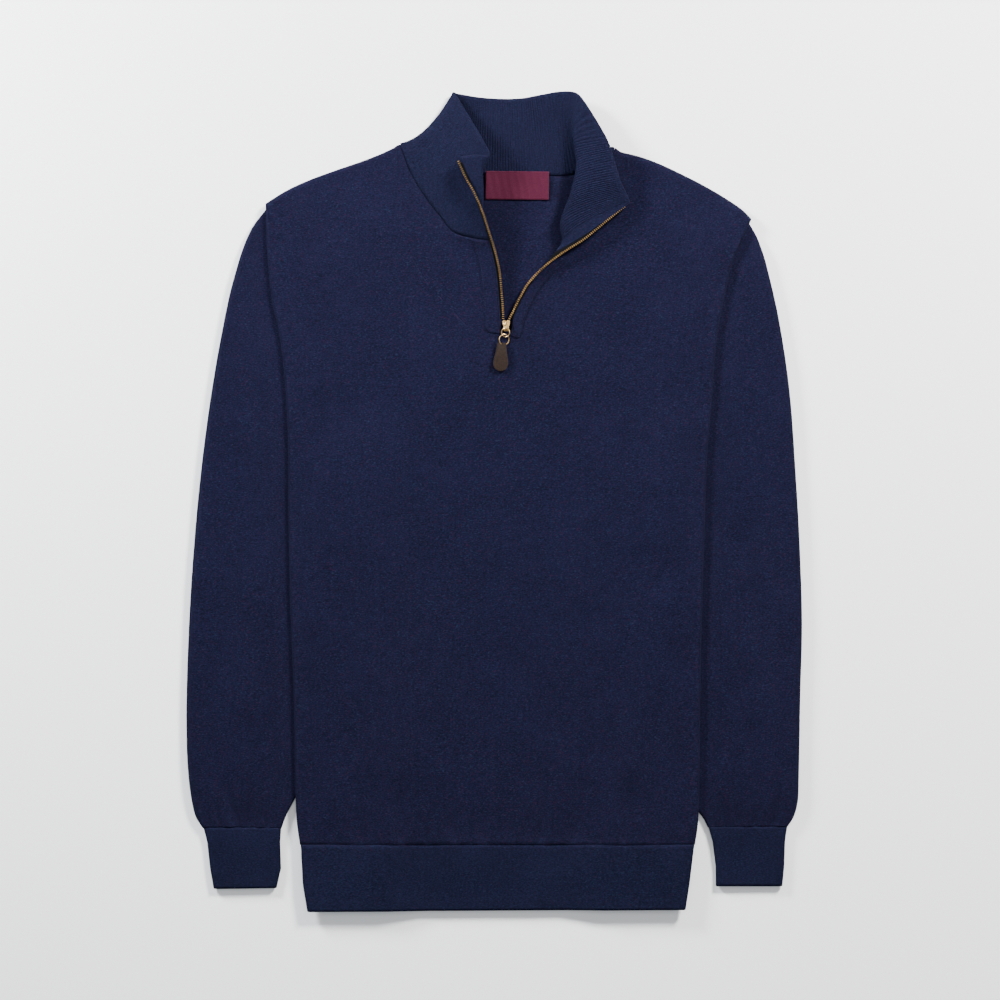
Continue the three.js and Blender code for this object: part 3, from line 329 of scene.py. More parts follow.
def make_object(
    name: str, points: Points, faces: Sequence[Sequence[int]], material: bpy.types.Material,
) -> bpy.types.Object:
    """A smooth-shaded mesh object.

    Args:
        name: The piece's name.
        points: Its points, in millimetres.
        faces: Its faces.
        material: Its material.

    Returns:
        The object, linked to the scene.
    """
    mesh = bpy.data.meshes.new(name)
    faces = np.asarray(faces).tolist() if isinstance(faces, np.ndarray) else faces
    mesh.from_pydata((points * METRE).tolist(), [], faces)
    mesh.polygons.foreach_set("use_smooth", np.ones(len(mesh.polygons), bool))
    mesh.materials.append(material)
    mesh.validate()
    mesh.update()
    made = bpy.data.objects.new(name, mesh)
    bpy.context.scene.collection.objects.link(made)
    return made


@dataclass(frozen=True)
class Cut:
    """What a piece of cloth was before it was laid: its width, length and area, in metres."""

    width: float
    length: float
    area: float


def dress(
    made: bpy.types.Object, body: str = GARMENT, node: str | None = None, cut: Cut | None = None,
) -> bpy.types.Object:
    """Joins a piece to the frame.

    Args:
        made: The piece.
        body: The body that it rides on.
        node: The CAD node that it stands for.
        cut: Its flat cut, if it is a sheet of cloth; not used.

    Returns:
        The piece.
    """
    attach(made, body)
    if node:
        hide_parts(node)
    LOG.info("%s: %d faces on %s", made.name, len(made.data.polygons), body)
    return made


# Cloth thicknesses and clearances, as in the solids
JERSEY = 1.8
HALF = JERSEY / 2
RIB_KNIT = 2.2
BAND = 0.6
TAPE = 0.8
SEAM_GAP = 0.3
LAYER_GAP = 0.65
LIFT = 4.5
HEM_SEAM_Y = -316.0
GATHER_WIDTH = 0.62
FRONT_LOW_Y = HEM_SEAM_Y + SEAM_GAP
SHOULDER_LEFT = np.array([-210 + HALF, 274 - HALF, 0.0])
SHOULDER_RIGHT = np.array([236.2 - HALF, 260 - HALF, 0.0])
LEVEL = np.array([1.0, 1.0, 0.0])


def gather_depth(gathers: dict[str, np.ndarray], seam_y: float, x: np.ndarray, y: np.ndarray) -> np.ndarray:
    """The depth of a set of gathers that rise from a rib's seam.

    Args:
        gathers: Their feet, tops, half widths and depths.
        seam_y: The seam's height.
        x: Places across.
        y: Places up.

    Returns:
        How deep the cloth dips at each place.
    """
    total = np.zeros(np.shape(x))
    for foot, top_x, top_y, half, depth in zip(*gathers.values()):
        share = (y - seam_y) / (top_y - seam_y)
        inside = (share >= 0) & (share <= 1)
        across = (x - mix(foot, top_x, share)) / (half * GATHER_WIDTH)
        total += np.where(inside, depth * (1 - smooth(share)) * np.exp(-across * across), 0)
    return total


def fold_height(folds: dict[str, np.ndarray], x: np.ndarray, y: np.ndarray) -> np.ndarray:
    """The height of a set of long soft folds, below zero in a trough.

    Args:
        folds: Their two ends, half widths and heights.
        x: Places across.
        y: Places up.

    Returns:
        The sum of the folds at each place.
    """
    total = np.zeros(np.shape(x))
    for x0, y0, x1, y1, half, height in zip(*folds.values()):
        dx, dy = x1 - x0, y1 - y0
        share = np.clip(((x - x0) * dx + (y - y0) * dy) / (dx * dx + dy * dy), 0, 1)
        off = np.hypot(x - x0 - share * dx, y - y0 - share * dy) / half
        total += height * np.exp(-off * off)
    return total


def drift(x: np.ndarray, y: np.ndarray, reach: float, seed: int) -> np.ndarray:
    """A smooth uneven swell from -1 to 1, the same in each run.

    Args:
        x: Places across.
        y: Places up.
        reach: The length of a typical swell, in millimetres.
        seed: Which swell.

    Returns:
        Its height at each place.
    """
    draw = np.random.default_rng(seed)
    waves = 7
    total = np.zeros(np.shape(x))
    for _ in range(waves):
        angle, phase = draw.uniform(0, 2 * math.pi, 2)
        step = 2 * math.pi / (reach * draw.uniform(0.6, 1.9))
        total += np.sin((x * math.cos(angle) + y * math.sin(angle)) * step + phase)
    return total / waves


@dataclass
class Torso:
    """The body's outline, its heights and the folds in it."""

    left_side: dict = field(default_factory=lambda: columns("x y z", [
        [-178.4, -316, 0], [-181.5, -292, 0], [-182.4, -268, 0], [-183.8, -185, 0], [-187.5, -81, 0],
        [-188.9, 0, 0], [-189, 52, 0], [-192.5, 117, 0], [-198, 159, 0], [-203.6, 184, 0], [-208.2, 226, 0],
        [-210, 274, 0],
    ]))
    right_side: dict = field(default_factory=lambda: columns("x y z", [
        [184.4, -316, 0], [187, -297, 0], [187.8, -280, 0], [189.9, -134, 0], [193, -29, 0], [195.7, 49, 0],
        [199, 86, 0], [204.6, 153, 0], [211.4, 189, 0], [220.2, 226, 0], [225.2, 234, 0], [236.2, 260, 0],
    ]))
    left_shoulder: dict = field(default_factory=lambda: columns("x y z", [
        [-210, 274, 0], [-189.8, 286.6, 0], [-170.4, 295.8, 0], [-145.6, 305, 0], [-118.9, 314.2, 0],
        [-96.8, 323.4, 0], [-86.3, 329.4, 0],
    ]))
    right_shoulder: dict = field(default_factory=lambda: columns("x y z", [
        [110.5, 326.5, 0], [117.2, 322, 0], [132.3, 317.9, 0], [150.7, 311.4, 0], [177.3, 298.9, 0],
        [195.7, 289.3, 0], [212.3, 279.2, 0], [227.9, 268.2, 0], [236.2, 260, 0],
    ]))
    left_slit: dict = field(default_factory=lambda: columns("x y z", [
        [11, 153, 5.2], [6, 157.5, 5.7], [5.2, 168.8, 6.2], [3.8, 189, 6.8], [1.7, 210.6, 8.2],
        [-1.8, 227.5, 10.6], [-4.8, 240.8, 13.3],
    ]))
    right_slit: dict = field(default_factory=lambda: columns("x y z", [
        [11, 153, 5.2], [16.2, 157.5, 5.7], [18.2, 169, 6.2], [26.5, 188, 6.9], [34, 200.5, 7.8],
        [44, 213.5, 9.4], [56.6, 229.5, 12],
    ]))
    hem_corners: tuple = (
        ((-178.4, -316, 0), (-178.2, -316.3, 0), (-176.4, -352, 0), (-172.3, -377, 0)),
        ((184.4, -316, 0), (184.2, -316.3, 0), (180, -351, 0), (176.3, -375.2, 0)),
    )
    gathers: dict = field(default_factory=lambda: columns("foot top_x top_y half depth", [
        [-168, -171, -284, 4, 0.5], [-150, -154, -262, 8, 0.5], [-124.6, -139, -190, 8, 1.2],
        [-112, -116, -268, 5, 0.6], [-98, -104, -292, 4, 0.4], [-86, -92, -240, 7, 1.0],
        [-74, -77, -286, 4, 0.35],
        [-62, -64, -280, 6, 0.5], [-49, -54, -288, 4, 0.4], [-37, -44, -236, 7, 1.1],
        [-22, -26, -282, 5, 0.4],
        [-10, -13, -262, 6, 1.0], [4, 2, -290, 4, 0.35], [17, 16, -284, 6, 0.6], [30, 33, -268, 5, 0.5],
        [43, 47, -226, 7, 1.1], [58, 61, -284, 5, 0.4], [72, 77, -262, 7, 0.8], [92, 122, -150, 10, 1.3],
        [106, 112, -280, 4, 0.45], [118, 128, -236, 7, 0.8], [133, 136, -288, 4, 0.4],
        [146, 152, -258, 8, 0.6],
        [168, 171, -282, 4, 0.45],
    ]))
    folds: dict = field(default_factory=lambda: columns("x0 y0 x1 y1 half height", [
        [137, -60, 111, -185, 20, -1.2], [111, -185, 90, -300, 16, -1.2], [152, -95, 126, -245, 16, 0.8],
        [201, 250, 200, 158, 12, -0.9], [-120, 250, -150, 120, 26, 0.7], [-150, -60, -128, -200, 16, -0.7],
        [60, 150, 150, 60, 30, 0.6], [-40, 120, -110, 20, 30, 0.5], [-133, -202, -118, -262, 11, -0.8],
        [-118, -262, -108, -312, 9, -0.7], [-96, -175, -88, -250, 14, 0.5], [20, -60, 8, -190, 28, -0.5],
        [160, 205, 120, 150, 18, -0.4], [-165, 150, -140, 60, 22, -0.5], [-30, -120, -60, -240, 22, 0.5],
        [80, 40, 60, -80, 34, 0.5], [175, 20, 168, -120, 14, 0.5], [-172, 40, -168, -110, 12, 0.5],
    ]))
    edge_spread: float = 22.0
    puff: float = 2.0
    puff_reach: float = 70.0
    turn: float = 1.15
    turn_drop: float = 0.45
    swell: float = 0.4
    gather_gain: float = 2.3
    fold_gain: float = 2.0

    def __post_init__(self) -> None:
        """Makes the outline's curves and the chains that heights are read from."""
        names = ("left_side", "right_side", "left_shoulder", "right_shoulder", "left_slit", "right_slit")
        self.curve = {name: rail(self.points(getattr(self, name))) for name in names}
        self.sides = [self.curve[name](np.linspace(0, 1, 41)) for name in names[:2]]
        self.shoulders = [self.curve[name](np.linspace(0, 1, 25)) for name in names[2:4]]
        self.slits = [self.curve[name](np.linspace(0, 1, 25)) for name in names[4:]]
        self.hem = [np.array(corners, float) for corners in self.hem_corners]
        self.raised = list(self.slits)

    @staticmethod
    def points(table: dict[str, np.ndarray]) -> Points:
        """A table's x, y and z as points."""
        return np.stack([table["x"], table["y"], table["z"]], 1)

    def lift(self, x: np.ndarray, y: np.ndarray) -> np.ndarray:
        """The height that the layers turned under the body give it."""
        distance, _ = nearest([*self.sides, *self.hem], x, y)
        arm = np.clip((y - 20) / (90 - 20), 0, 1)
        low = LIFT * np.clip((110 - distance) / (110 - 75), 0, 1)
        high = LIFT * np.clip((45 - distance) / (45 - 14), 0, 1)
        return mix(low, high, arm)

    def outside(self, x: np.ndarray, y: np.ndarray, side: int) -> np.ndarray:
        """How far x, y lies outside one visible side, 0 inside."""
        trail = self.sides[0 if side < 0 else 1]
        edge = np.interp(np.clip(y, trail[0, 1], trail[-1, 1]), trail[:, 1], trail[:, 0])
        out = (np.abs(x) > np.abs(edge)) | (y > trail[-1, 1])
        distance, _ = nearest([trail], x, y)
        return np.where(out, distance, 0)

    def back_height(self, x: np.ndarray, y: np.ndarray) -> np.ndarray:
        """The back panel's middle height."""
        return HALF + self.lift(x, y)

    def front_height(self, x: np.ndarray, y: np.ndarray) -> np.ndarray:
        """The front panel's middle height, with its folds and gathers."""
        inward, _ = nearest([*self.sides, *self.shoulders], x, y)
        puff = self.puff * smooth((inward - 3) / self.puff_reach)
        quiet = smooth((inward - 2) / 16)
        relief = self.fold_gain * fold_height(self.folds, x, y) + self.swell * drift(x, y, 85, 3)
        gathered = self.gather_gain * gather_depth(self.gathers, HEM_SEAM_Y, x, y)
        relief = relief - gathered * smooth((y - HEM_SEAM_Y) / 7)
        base = self.back_height(x, y) + JERSEY + LAYER_GAP + puff + np.maximum(-puff, relief * quiet)
        distance, z = nearest(self.raised, x, y)
        reach = np.clip(1 - distance / self.edge_spread, 0, 1)
        level = mix(base, np.maximum(z, base), reach * reach)
        turned = np.clip(1 - (inward - HALF) / self.turn, 0, 1)
        return level - self.turn_drop * (1 - np.sqrt(1 - turned * turned))


@dataclass
class Front:
    """The front panel: two patches that share the centre line below the zip and part along its slit."""

    torso: Torso
    collar: "Collar"
    centre_x: float = 11.0
    slit_foot_y: float = 153.0
    seam_inset: float = 1.35
    left_slit_share: float = 0.84
    right_slit_share: float = 0.68
    right_neck_share: float = 0.81
    shoulder_share: float = 0.56
    placket_share: float = 0.948
    cut: Cut = Cut(0.446, 0.645, 0.23)

    def __post_init__(self) -> None:
        """Makes the patches' edges."""
        curve = self.torso.curve
        foot = np.array([self.centre_x, FRONT_LOW_Y, 0.0])
        slit_foot = np.array([self.centre_x, self.slit_foot_y, 0.0])
        left_seam = flat_of(inset(self.collar.left_neck, -self.seam_inset))
        right_seam = flat_of(inset(self.collar.right_neck, -self.seam_inset))
        first, last = np.array([0.0]), np.array([1.0])
        self.left_edge = self.side(curve["left_side"], -HALF, SHOULDER_LEFT)
        self.right_edge = self.side(curve["right_side"], HALF, SHOULDER_RIGHT)
        shoulder = ends_at(flat_of(inset(curve["left_shoulder"], -HALF)), SHOULDER_LEFT, left_seam(first)[0])
        self.left_top = joined(shoulder, left_seam, self.shoulder_share)
        self.right_top = ends_at(
            flat_of(inset(curve["right_shoulder"], -HALF)), right_seam(last)[0], SHOULDER_RIGHT)
        centre = line(foot, slit_foot)
        left_slit = ends_at(flat_of(curve["left_slit"]), slit_foot, left_seam(last)[0])
        right_slit = ends_at(flat_of(curve["right_slit"]), slit_foot, right_seam(first)[0])
        split = (self.right_neck_share - self.right_slit_share) / (1 - self.right_slit_share)
        self.left_centre = joined(centre, left_slit, self.left_slit_share)
        self.right_centre = joined(centre, joined(right_slit, right_seam, split), self.right_slit_share)
        self.foot = foot

    @staticmethod
    def side(curve: Curve, by: float, shoulder: Points) -> Curve:
        """One side edge, from the hem seam to the shoulder point."""
        moved = inset(curve, by)
        corner = moved(np.array([0.0]))[0].copy()
        corner[1:] = FRONT_LOW_Y, 0.0
        return ends_at(flat_of(moved), corner, shoulder)

    def left(self, u: np.ndarray, v: np.ndarray) -> Points:
        """Points of the left patch, with their heights."""
        bottom = line(self.left_edge(np.array([0.0]))[0], self.foot)
        return self.raise_to_front(patch(bottom, self.left_top, self.left_edge, self.left_centre, u, v))

    def right(self, u: np.ndarray, v: np.ndarray) -> Points:
        """Points of the right patch, with their heights."""
        bottom = line(self.foot, self.right_edge(np.array([0.0]))[0])
        return self.raise_to_front(patch(bottom, self.right_top, self.right_centre, self.right_edge, u, v))

    def raise_to_front(self, grid: Points) -> Points:
        """The grid with each point at the front's height."""
        grid = grid.copy()
        grid[..., 2] = self.torso.front_height(grid[..., 0], grid[..., 1])
        return grid

    @staticmethod
    def edge_shares() -> np.ndarray:
        """Shares across that crowd towards a rolled edge."""
        return np.array([0, 0.0018, 0.0038, 0.0062, 0.011])

    def build(self, material: bpy.types.Material) -> bpy.types.Object:
        """Makes the front panel."""
        edge = self.edge_shares()
        placket = self.placket_share
        left_u = np.concatenate([edge, np.linspace(0.02, placket, 78), np.linspace(placket, 1, 5)[1:]])
        right_u = np.concatenate([
            np.linspace(0, 1 - placket, 5)[:-1], np.linspace(1 - placket, 0.98, 78), 1 - edge[::-1]])
        left_slit, right_slit = self.left_slit_share, self.right_slit_share
        left_v = np.concatenate([np.linspace(0, left_slit, 134), np.linspace(left_slit, 1, 46)[1:]])
        right_v = np.concatenate([np.linspace(0, right_slit, 134), np.linspace(right_slit, 1, 70)[1:]])
        sheet = Sheet.grid(self.left(left_u, left_v)).welded(Sheet.grid(self.right(right_u, right_v)))
        made = make_object("front_cloth", *wall(sheet, JERSEY), material)
        return dress(made, node="front_panel", cut=self.cut)


@dataclass
class Back:
    """The back panel, flat on the surface in its middle and lifted at its sides."""

    torso: Torso
    collar: "Collar"
    neck_from: float = 0.34
    neck_to: float = 0.71
    seam_inset: float = 0.6
    cut: Cut = Cut(0.446, 0.645, 0.243)

    def build(self, material: bpy.types.Material) -> bpy.types.Object:
        """Makes the back panel."""
        curve = self.torso.curve
        first, last = np.array([0.0]), np.array([1.0])
        left_top = curve["left_shoulder"](first)[0] * LEVEL
        right_top = curve["right_shoulder"](last)[0] * LEVEL
        seam = flat_of(inset(self.collar.back_neck, -self.seam_inset))
        left = ends_at(flat_of(curve["left_side"]), np.array([-178.4, FRONT_LOW_Y, 0]), left_top)
        right = ends_at(flat_of(curve["right_side"]), np.array([184.4, FRONT_LOW_Y, 0]), right_top)
        left_shoulder = ends_at(flat_of(curve["left_shoulder"]), left_top, seam(first)[0])
        right_shoulder = ends_at(flat_of(curve["right_shoulder"]), seam(last)[0], right_top)
        top = joined(
            left_shoulder,
            joined(seam, right_shoulder, (self.neck_to - self.neck_from) / (1 - self.neck_from)),
            self.neck_from,
        )
        bottom = line(left(first)[0], right(first)[0])
        grid = patch(bottom, top, left, right, np.linspace(0, 1, 121), np.linspace(0, 1, 101))
        grid[..., 2] = self.torso.back_height(grid[..., 0], grid[..., 1])
        made = make_object("back_cloth", *wall(Sheet.grid(grid), JERSEY), material)
        return dress(made, node="back_panel", cut=self.cut)


FOLD_ANGLES = np.radians(np.array([-75, -50, -25, 0, 25, 50, 75]))


def unit(vectors: Points) -> Points:
    """Vectors of length 1."""
    return vectors / np.maximum(np.linalg.norm(vectors, axis=-1, keepdims=True), 1e-9)


def square_to(tangent: Points, reach: Points) -> Points:
    """The direction in plan square to an edge that runs along tangent, on the side that reach points to."""
    square = np.array([-tangent[1], tangent[0], 0.0]) / np.hypot(tangent[0], tangent[1])
    return square if square @ reach >= 0 else -square


@dataclass(frozen=True)
class Tube:
    """A flattened tube's layers, and where its rings have their points."""

    half: float
    bottom_at: Callable
    top_at: Callable
    bottom_shares: np.ndarray
    top_shares: np.ndarray

    def span(self, corner: Points) -> float:
        """Half of the space between the layers' middles."""
        x, y = corner[:1], corner[1:2]
        return float(self.top_at(x, y)[0] - self.bottom_at(x, y)[0]) / 2

    def fold(self, hub: Points, over: Points, angles: np.ndarray) -> Points:
        """The half circle round one fold, turned square to its edge."""
        reach = self.span(hub)
        points = hub + reach * np.cos(angles)[:, None] * over
        points[:, 2] = self.bottom_at(hub[:1], hub[1:2])[0] + reach + reach * np.sin(angles)
        return points

    def ring(
        self, inner: Points, outer: Points, over_inner: Points, over_outer: Points,
        bow: Callable = np.zeros_like,
    ) -> Points:
        """One ring: along the bottom, round the outer fold, back over the top, round the inner one.

        Args:
            inner: The inner fold's place.
            outer: The outer fold's place.
            over_inner: The direction from the tube's middle over its inner edge.
            over_outer: The same for its outer edge.
            bow: How far the ring bows in towards the body, by the share across.

        Returns:
            The ring's points in order.
        """
        start, end = inner - over_inner * self.half, outer - over_outer * self.half
        low_end, high_end = start - over_inner * self.span(start), end - over_outer * self.span(end)
        square = square_to(high_end - low_end, np.array([-low_end[0], 0.0, 0.0]))

        def layer(shares: np.ndarray, height: Callable) -> Points:
            """One layer's points, by the share across."""
            points = low_end + (high_end - low_end) * shares[:, None] + square * bow(shares)[:, None]
            points[:, 2] = height(points[:, 0], points[:, 1])
            return points

        return np.vstack([
            layer(self.bottom_shares, self.bottom_at), self.fold(high_end, over_outer, FOLD_ANGLES),
            layer(1 - self.top_shares, self.top_at), self.fold(low_end, over_inner, FOLD_ANGLES[::-1]),
        ])


@dataclass
class Sleeve:
    """A sleeve, tucked by its inner edge under the body's side."""

    name: str
    side: int
    torso: Torso
    table: dict
    gathers: dict
    folds: dict
    swell_seed: int
    bow: float = 0.0
    bow_reach: float = 0.2
    bow_lean: float = 2.2
    knit: float = 1.5
    tucked_top: float = 3.45
    top: float = 6.65
    rings: int = 150
    bottom_columns: int = 9
    top_columns: int = 56
    cut: Cut = Cut(0.22, 0.58, 0.096)

    def top_at(self, x: np.ndarray, y: np.ndarray) -> np.ndarray:
        """The upper layer's middle height."""
        cuff_y = self.table["out_y"][-1]
        rise = smooth((self.torso.outside(x, y, self.side) - 3) / 20)
        near_cuff = smooth((y - cuff_y) / 40)
        relief = fold_height(self.folds, x, y) + 0.3 * drift(x, y, 60, self.swell_seed)
        height = self.tucked_top + (self.top - self.tucked_top) * rise * mix(0.45, 1, near_cuff)
        gathered = self.torso.gather_gain * gather_depth(self.gathers, cuff_y, x, y)
        height = height + relief * rise - gathered * rise
        return np.maximum(self.tucked_top, height)

    def build(self, material: bpy.types.Material) -> bpy.types.Object:
        """Makes the sleeve."""
        shares = np.linspace(0, 1, self.rings)
        zero = np.zeros(len(self.table["out_x"]))
        outer = np.stack([self.table["out_x"], self.table["out_y"], zero], 1)
        inner = np.stack([self.table["in_x"], self.table["in_y"], zero], 1)
        outer = spline_points(outer, shares, Spline.CENTRIPETAL)
        inner = spline_points(inner, shares, Spline.CENTRIPETAL)
        half = self.knit / 2
        tube = Tube(
            half, lambda x, y: np.full(np.shape(x), half), self.top_at,
            np.linspace(0, 1, self.bottom_columns), np.linspace(0, 1, self.top_columns))
        sections = []
        for share, a, b, along_a, along_b in zip(
                shares, inner, outer, np.gradient(inner, axis=0), np.gradient(outer, axis=0)):
            depth = self.bow * max(0.0, 1 - share / self.bow_reach)
            sections.append(tube.ring(
                a, b, square_to(along_a, a - b), square_to(along_b, b - a),
                lambda across, depth=depth: depth * np.sin(np.pi * across ** self.bow_lean)))
        grid = np.array(sections) if self.side < 0 else np.array(sections)[:, ::-1]
        made = make_object(f"{self.name}_cloth", *wall(Sheet.grid(grid, wrap=True), self.knit), material)
        return dress(made, node=self.name, cut=self.cut)


@dataclass
class RibBand:
    """A ribbed band as a flattened tube, its ribs raised on the outside."""

    name: str
    facing: int
    table: dict
    bottom_at: Callable
    top_at: Callable
    cut: Cut
    seed: int
    pitch: float = 2.35
    rise: float = 0.5
    per_rib: int = 6
    rows: int = 22
    sag: float = 0.45

    def build(self, material: bpy.types.Material) -> bpy.types.Object:
        """Makes the band."""
        t = self.table
        width = math.hypot(t["out_x"][0] - t["in_x"][0], t["out_y"][0] - t["in_y"][0])
        ribs = round(width / self.pitch)
        across = np.linspace(0, 1, ribs * self.per_rib + 1)
        courses = np.linspace(0, 1, self.rows)
        place = np.linspace(0, 1, len(t["out_x"]))
        zero = np.zeros(self.rows)

        def edge(side: str) -> Points:
            """One side of the band, course by course."""
            xy = [np.interp(courses, place, t[f"{side}_{axis}"]) for axis in "xy"]
            return np.stack([*xy, zero], 1)

        def uneven_top(x: np.ndarray, y: np.ndarray) -> np.ndarray:
            """The upper layer's height, with a soft unevenness."""
            return self.top_at(x, y) + self.sag * drift(x, y, 42, self.seed) * 0.6

        tube = Tube(RIB_KNIT / 2, self.bottom_at, uneven_top, across, across)
        sections = np.array([
            tube.ring(a, b, unit(a - b), unit(b - a)) for a, b in zip(edge("in"), edge("out"))
        ])
        if self.facing > 0:
            sections = sections[:, ::-1]
        profile = np.abs(np.sin(np.pi * ribs * across)) ** 0.7
        folds = np.full(len(FOLD_ANGLES), 0.6)
        rise = self.rise * np.concatenate([profile * 0, folds * 0.3, profile, folds * 0.3])
        if self.facing > 0:
            rise = rise[::-1]
        body = wall(Sheet.grid(sections, wrap=True), RIB_KNIT - 0.3, np.tile(rise, self.rows))
        made = make_object(f"{self.name}_cloth", *body, material)
        return dress(made, node=self.name, cut=self.cut)


@dataclass
class Collar:
    """The stand collar: a wall through its stations, each a bent line from the neck seam to the top edge."""

    stations: dict = field(default_factory=lambda: columns(
        "seam_x seam_y seam_z pull_x pull_y pull_z top_x top_y top_z", [
        [-4.8, 240.8, 13.3, -17, 284, 22, -31, 315.5, 21.5],
        [-20, 243, 9.2, -2, 284, 24, -18, 317, 24],
        [-37.9, 249, 6.2, -22, 284, 14, -4.3, 317.2, 24.5],
        [-48, 261.5, 5.6, -32, 297, 11, -9.5, 329, 22],
        [-59.1, 275.5, 5.5, -42, 309, 10, -14.5, 338.5, 19],
        [-70.2, 292.1, 5.5, -50, 319, 9.5, -22, 351, 15],
        [-77, 304.5, 5.4, -56, 326, 8.5, -29, 363, 11.5],
        [-83, 320, 5.2, -60.5, 331, 7.5, -34, 371.5, 8.5],
        [-86.3, 329.4, 3.4, -61.5, 334, 5, -37.5, 376.4, 5.6],
        [-82, 326.5, 1.5, -58.5, 332.5, 2, -34.8, 375.6, 2.7],
        [-60, 314.8, 1.4, -46, 337, 2, -29.5, 374.6, 2.8],
        [-40, 306.4, 1.4, -33, 340, 2.2, -24, 373.6, 3.2],
        [-17, 302, 1.4, -15, 336, 2.5, -13, 371.8, 4],
        [7, 301, 1.4, 7, 336, 2.6, 7, 370.4, 4.5],
        [30, 301, 1.4, 28, 336, 2.8, 26, 371, 5],
        [52, 300.8, 1.6, 49, 337, 3.4, 43, 374, 6.4],
        [66, 301.4, 2, 62, 340, 5, 60.5, 376.6, 9],
        [80, 305, 2.6, 62, 343, 9, 75.5, 374.8, 13.5],
        [96, 312.5, 3.4, 54, 341, 12, 86, 361.5, 17.5],
        [110.3, 325.6, 4.6, 42, 326, 14, 101.9, 334.4, 20.5],
        [102, 302, 5.4, 47, 306, 18, 108.3, 317.9, 20.5],
        [87, 273, 5.6, 43, 284, 19, 114.8, 295.8, 18.5],
        [70.5, 246.5, 6.4, 38, 256, 18, 121.8, 281, 15],
        [56.6, 229.5, 12, 86, 245, 17.5, 124.5, 274.5, 13],
    ]))
    left_rows: int = 9
    right_start: int = 19
    pitch: float = 2.35
    per_rib: int = 6
    rows: int = 30
    rise: float = 0.42
    outer_rise: float = 0.1
    knit: float = 1.5
    plain_ribs: int = 4
    cut: Cut = Cut(0.4, 0.085, 0.0255)

    def __post_init__(self) -> None:
        """Makes the neck seam's three runs and the collar's even columns."""
        s = self.stations
        self.seam, self.pull, self.top = (
            np.stack([s[f"{name}_x"], s[f"{name}_y"], s[f"{name}_z"]], 1) for name in ("seam", "pull", "top"))
        self.left_neck = rail(self.seam[:self.left_rows][::-1])
        self.back_neck = rail(self.seam[self.left_rows - 1:self.right_start + 1])
        self.right_neck = rail(self.seam[self.right_start:][::-1])
        scan = np.linspace(0, 1, 1201)
        middle = self.at(scan, np.array([0.5]))[0]
        run = np.concatenate([[0], np.cumsum(np.linalg.norm(np.diff(middle, axis=0), axis=1))])
        self.length = run[-1]
        self.ribs = round(self.length / self.pitch)
        self.shares = np.interp(np.linspace(0, run[-1], self.ribs * self.per_rib + 1), run, scan)

    def at(self, share: np.ndarray, up: np.ndarray) -> Points:
        """Points of the collar.

        Args:
            share: Shares along the neck, from the left zip edge round the back.
            up: Shares from the seam to the top edge.

        Returns:
            A grid of points, a row for each height.
        """
        seam, pull, top = (
            spline_points(points, share, Spline.EASED)[None] for points in (self.seam, self.pull, self.top))
        t = up[:, None, None]
        return seam * (1 - t) ** 2 + pull * 2 * t * (1 - t) + top * t * t

    def build(self, material: bpy.types.Material) -> bpy.types.Object:
        """Makes the collar, ribbed inside and nearly smooth outside."""
        grid = self.at(self.shares, np.linspace(0, 1, self.rows))
        column = np.arange(len(self.shares))
        ribs_in = np.minimum(column, column[::-1]) / self.per_rib
        plain = smooth((ribs_in - self.plain_ribs) / 1.5)
        profile = np.abs(np.sin(np.pi * column / self.per_rib)) ** 0.7 * plain
        fade = smooth((1 - np.linspace(0, 1, self.rows)) / 0.04)[:, None]
        inside = (self.rise * profile[None] * fade).ravel()
        outside = (self.outer_rise * profile[None] * fade).ravel()
        made = make_object("collar_cloth", *wall(Sheet.grid(grid), self.knit, inside, outside), material)
        return dress(made, node="collar", cut=self.cut)


@dataclass
class ClothEdge:
    """The cloth beside one zip edge: its edge, a line further in, and the way it faces, row by row."""

    edge: Points
    inner: Points
    facing: Points

    @classmethod
    def of_grid(cls, grid: Points, edge_column: int, inner_column: int) -> "ClothEdge":
        """Reads the edge of a grid of points."""
        facing = Sheet.grid(grid).facings().reshape(grid.shape)
        return cls(grid[:, edge_column], grid[:, inner_column], facing[:, edge_column])

    def joined_to(self, other: "ClothEdge") -> "ClothEdge":
        """This edge with another run on above it."""
        return ClothEdge(*(np.vstack([a, b]) for a, b in (
            (self.edge, other.edge), (self.inner, other.inner), (self.facing, other.facing))))


class Side(Enum):
    """One side of the zip."""

    LEFT = -1
    RIGHT = 1


def along_curve(curve: Curve, step: float) -> tuple[Points, Points]:
    """Even places on a curve.

    Args:
        curve: The curve.
        step: The distance between places.

    Returns:
        The places, and the curve's direction at each.
    """
    dense = curve(np.linspace(0, 1, 800))
    run = np.concatenate([[0], np.cumsum(np.linalg.norm(np.diff(dense, axis=0), axis=1))])
    count = int(run[-1] / step)
    shares = np.interp((np.arange(count) + 0.5) * step, run, np.linspace(0, 1, 800))
    near = 0.002
    ahead = curve(np.minimum(1, shares + near)) - curve(np.maximum(0, shares - near))
    return curve(shares), unit(ahead)


def copies(
    shape: Points, faces: Sequence[Sequence[int]], places: Points, axes: Points,
) -> tuple[Points, list]:
    """Many copies of one small shape as joined points and faces.

    Args:
        shape: The shape's points.
        faces: Its faces.
        places: Where each copy is.
        axes: Each copy's three directions, a row each.

    Returns:
        The points and faces of all the copies.
    """
    points = np.einsum("pk,nkc->npc", shape, axes) + places[:, None]
    count = len(shape)
    all_faces = [[k * count + index for index in face] for k in range(len(places)) for face in faces]
    return points.reshape(-1, 3), all_faces


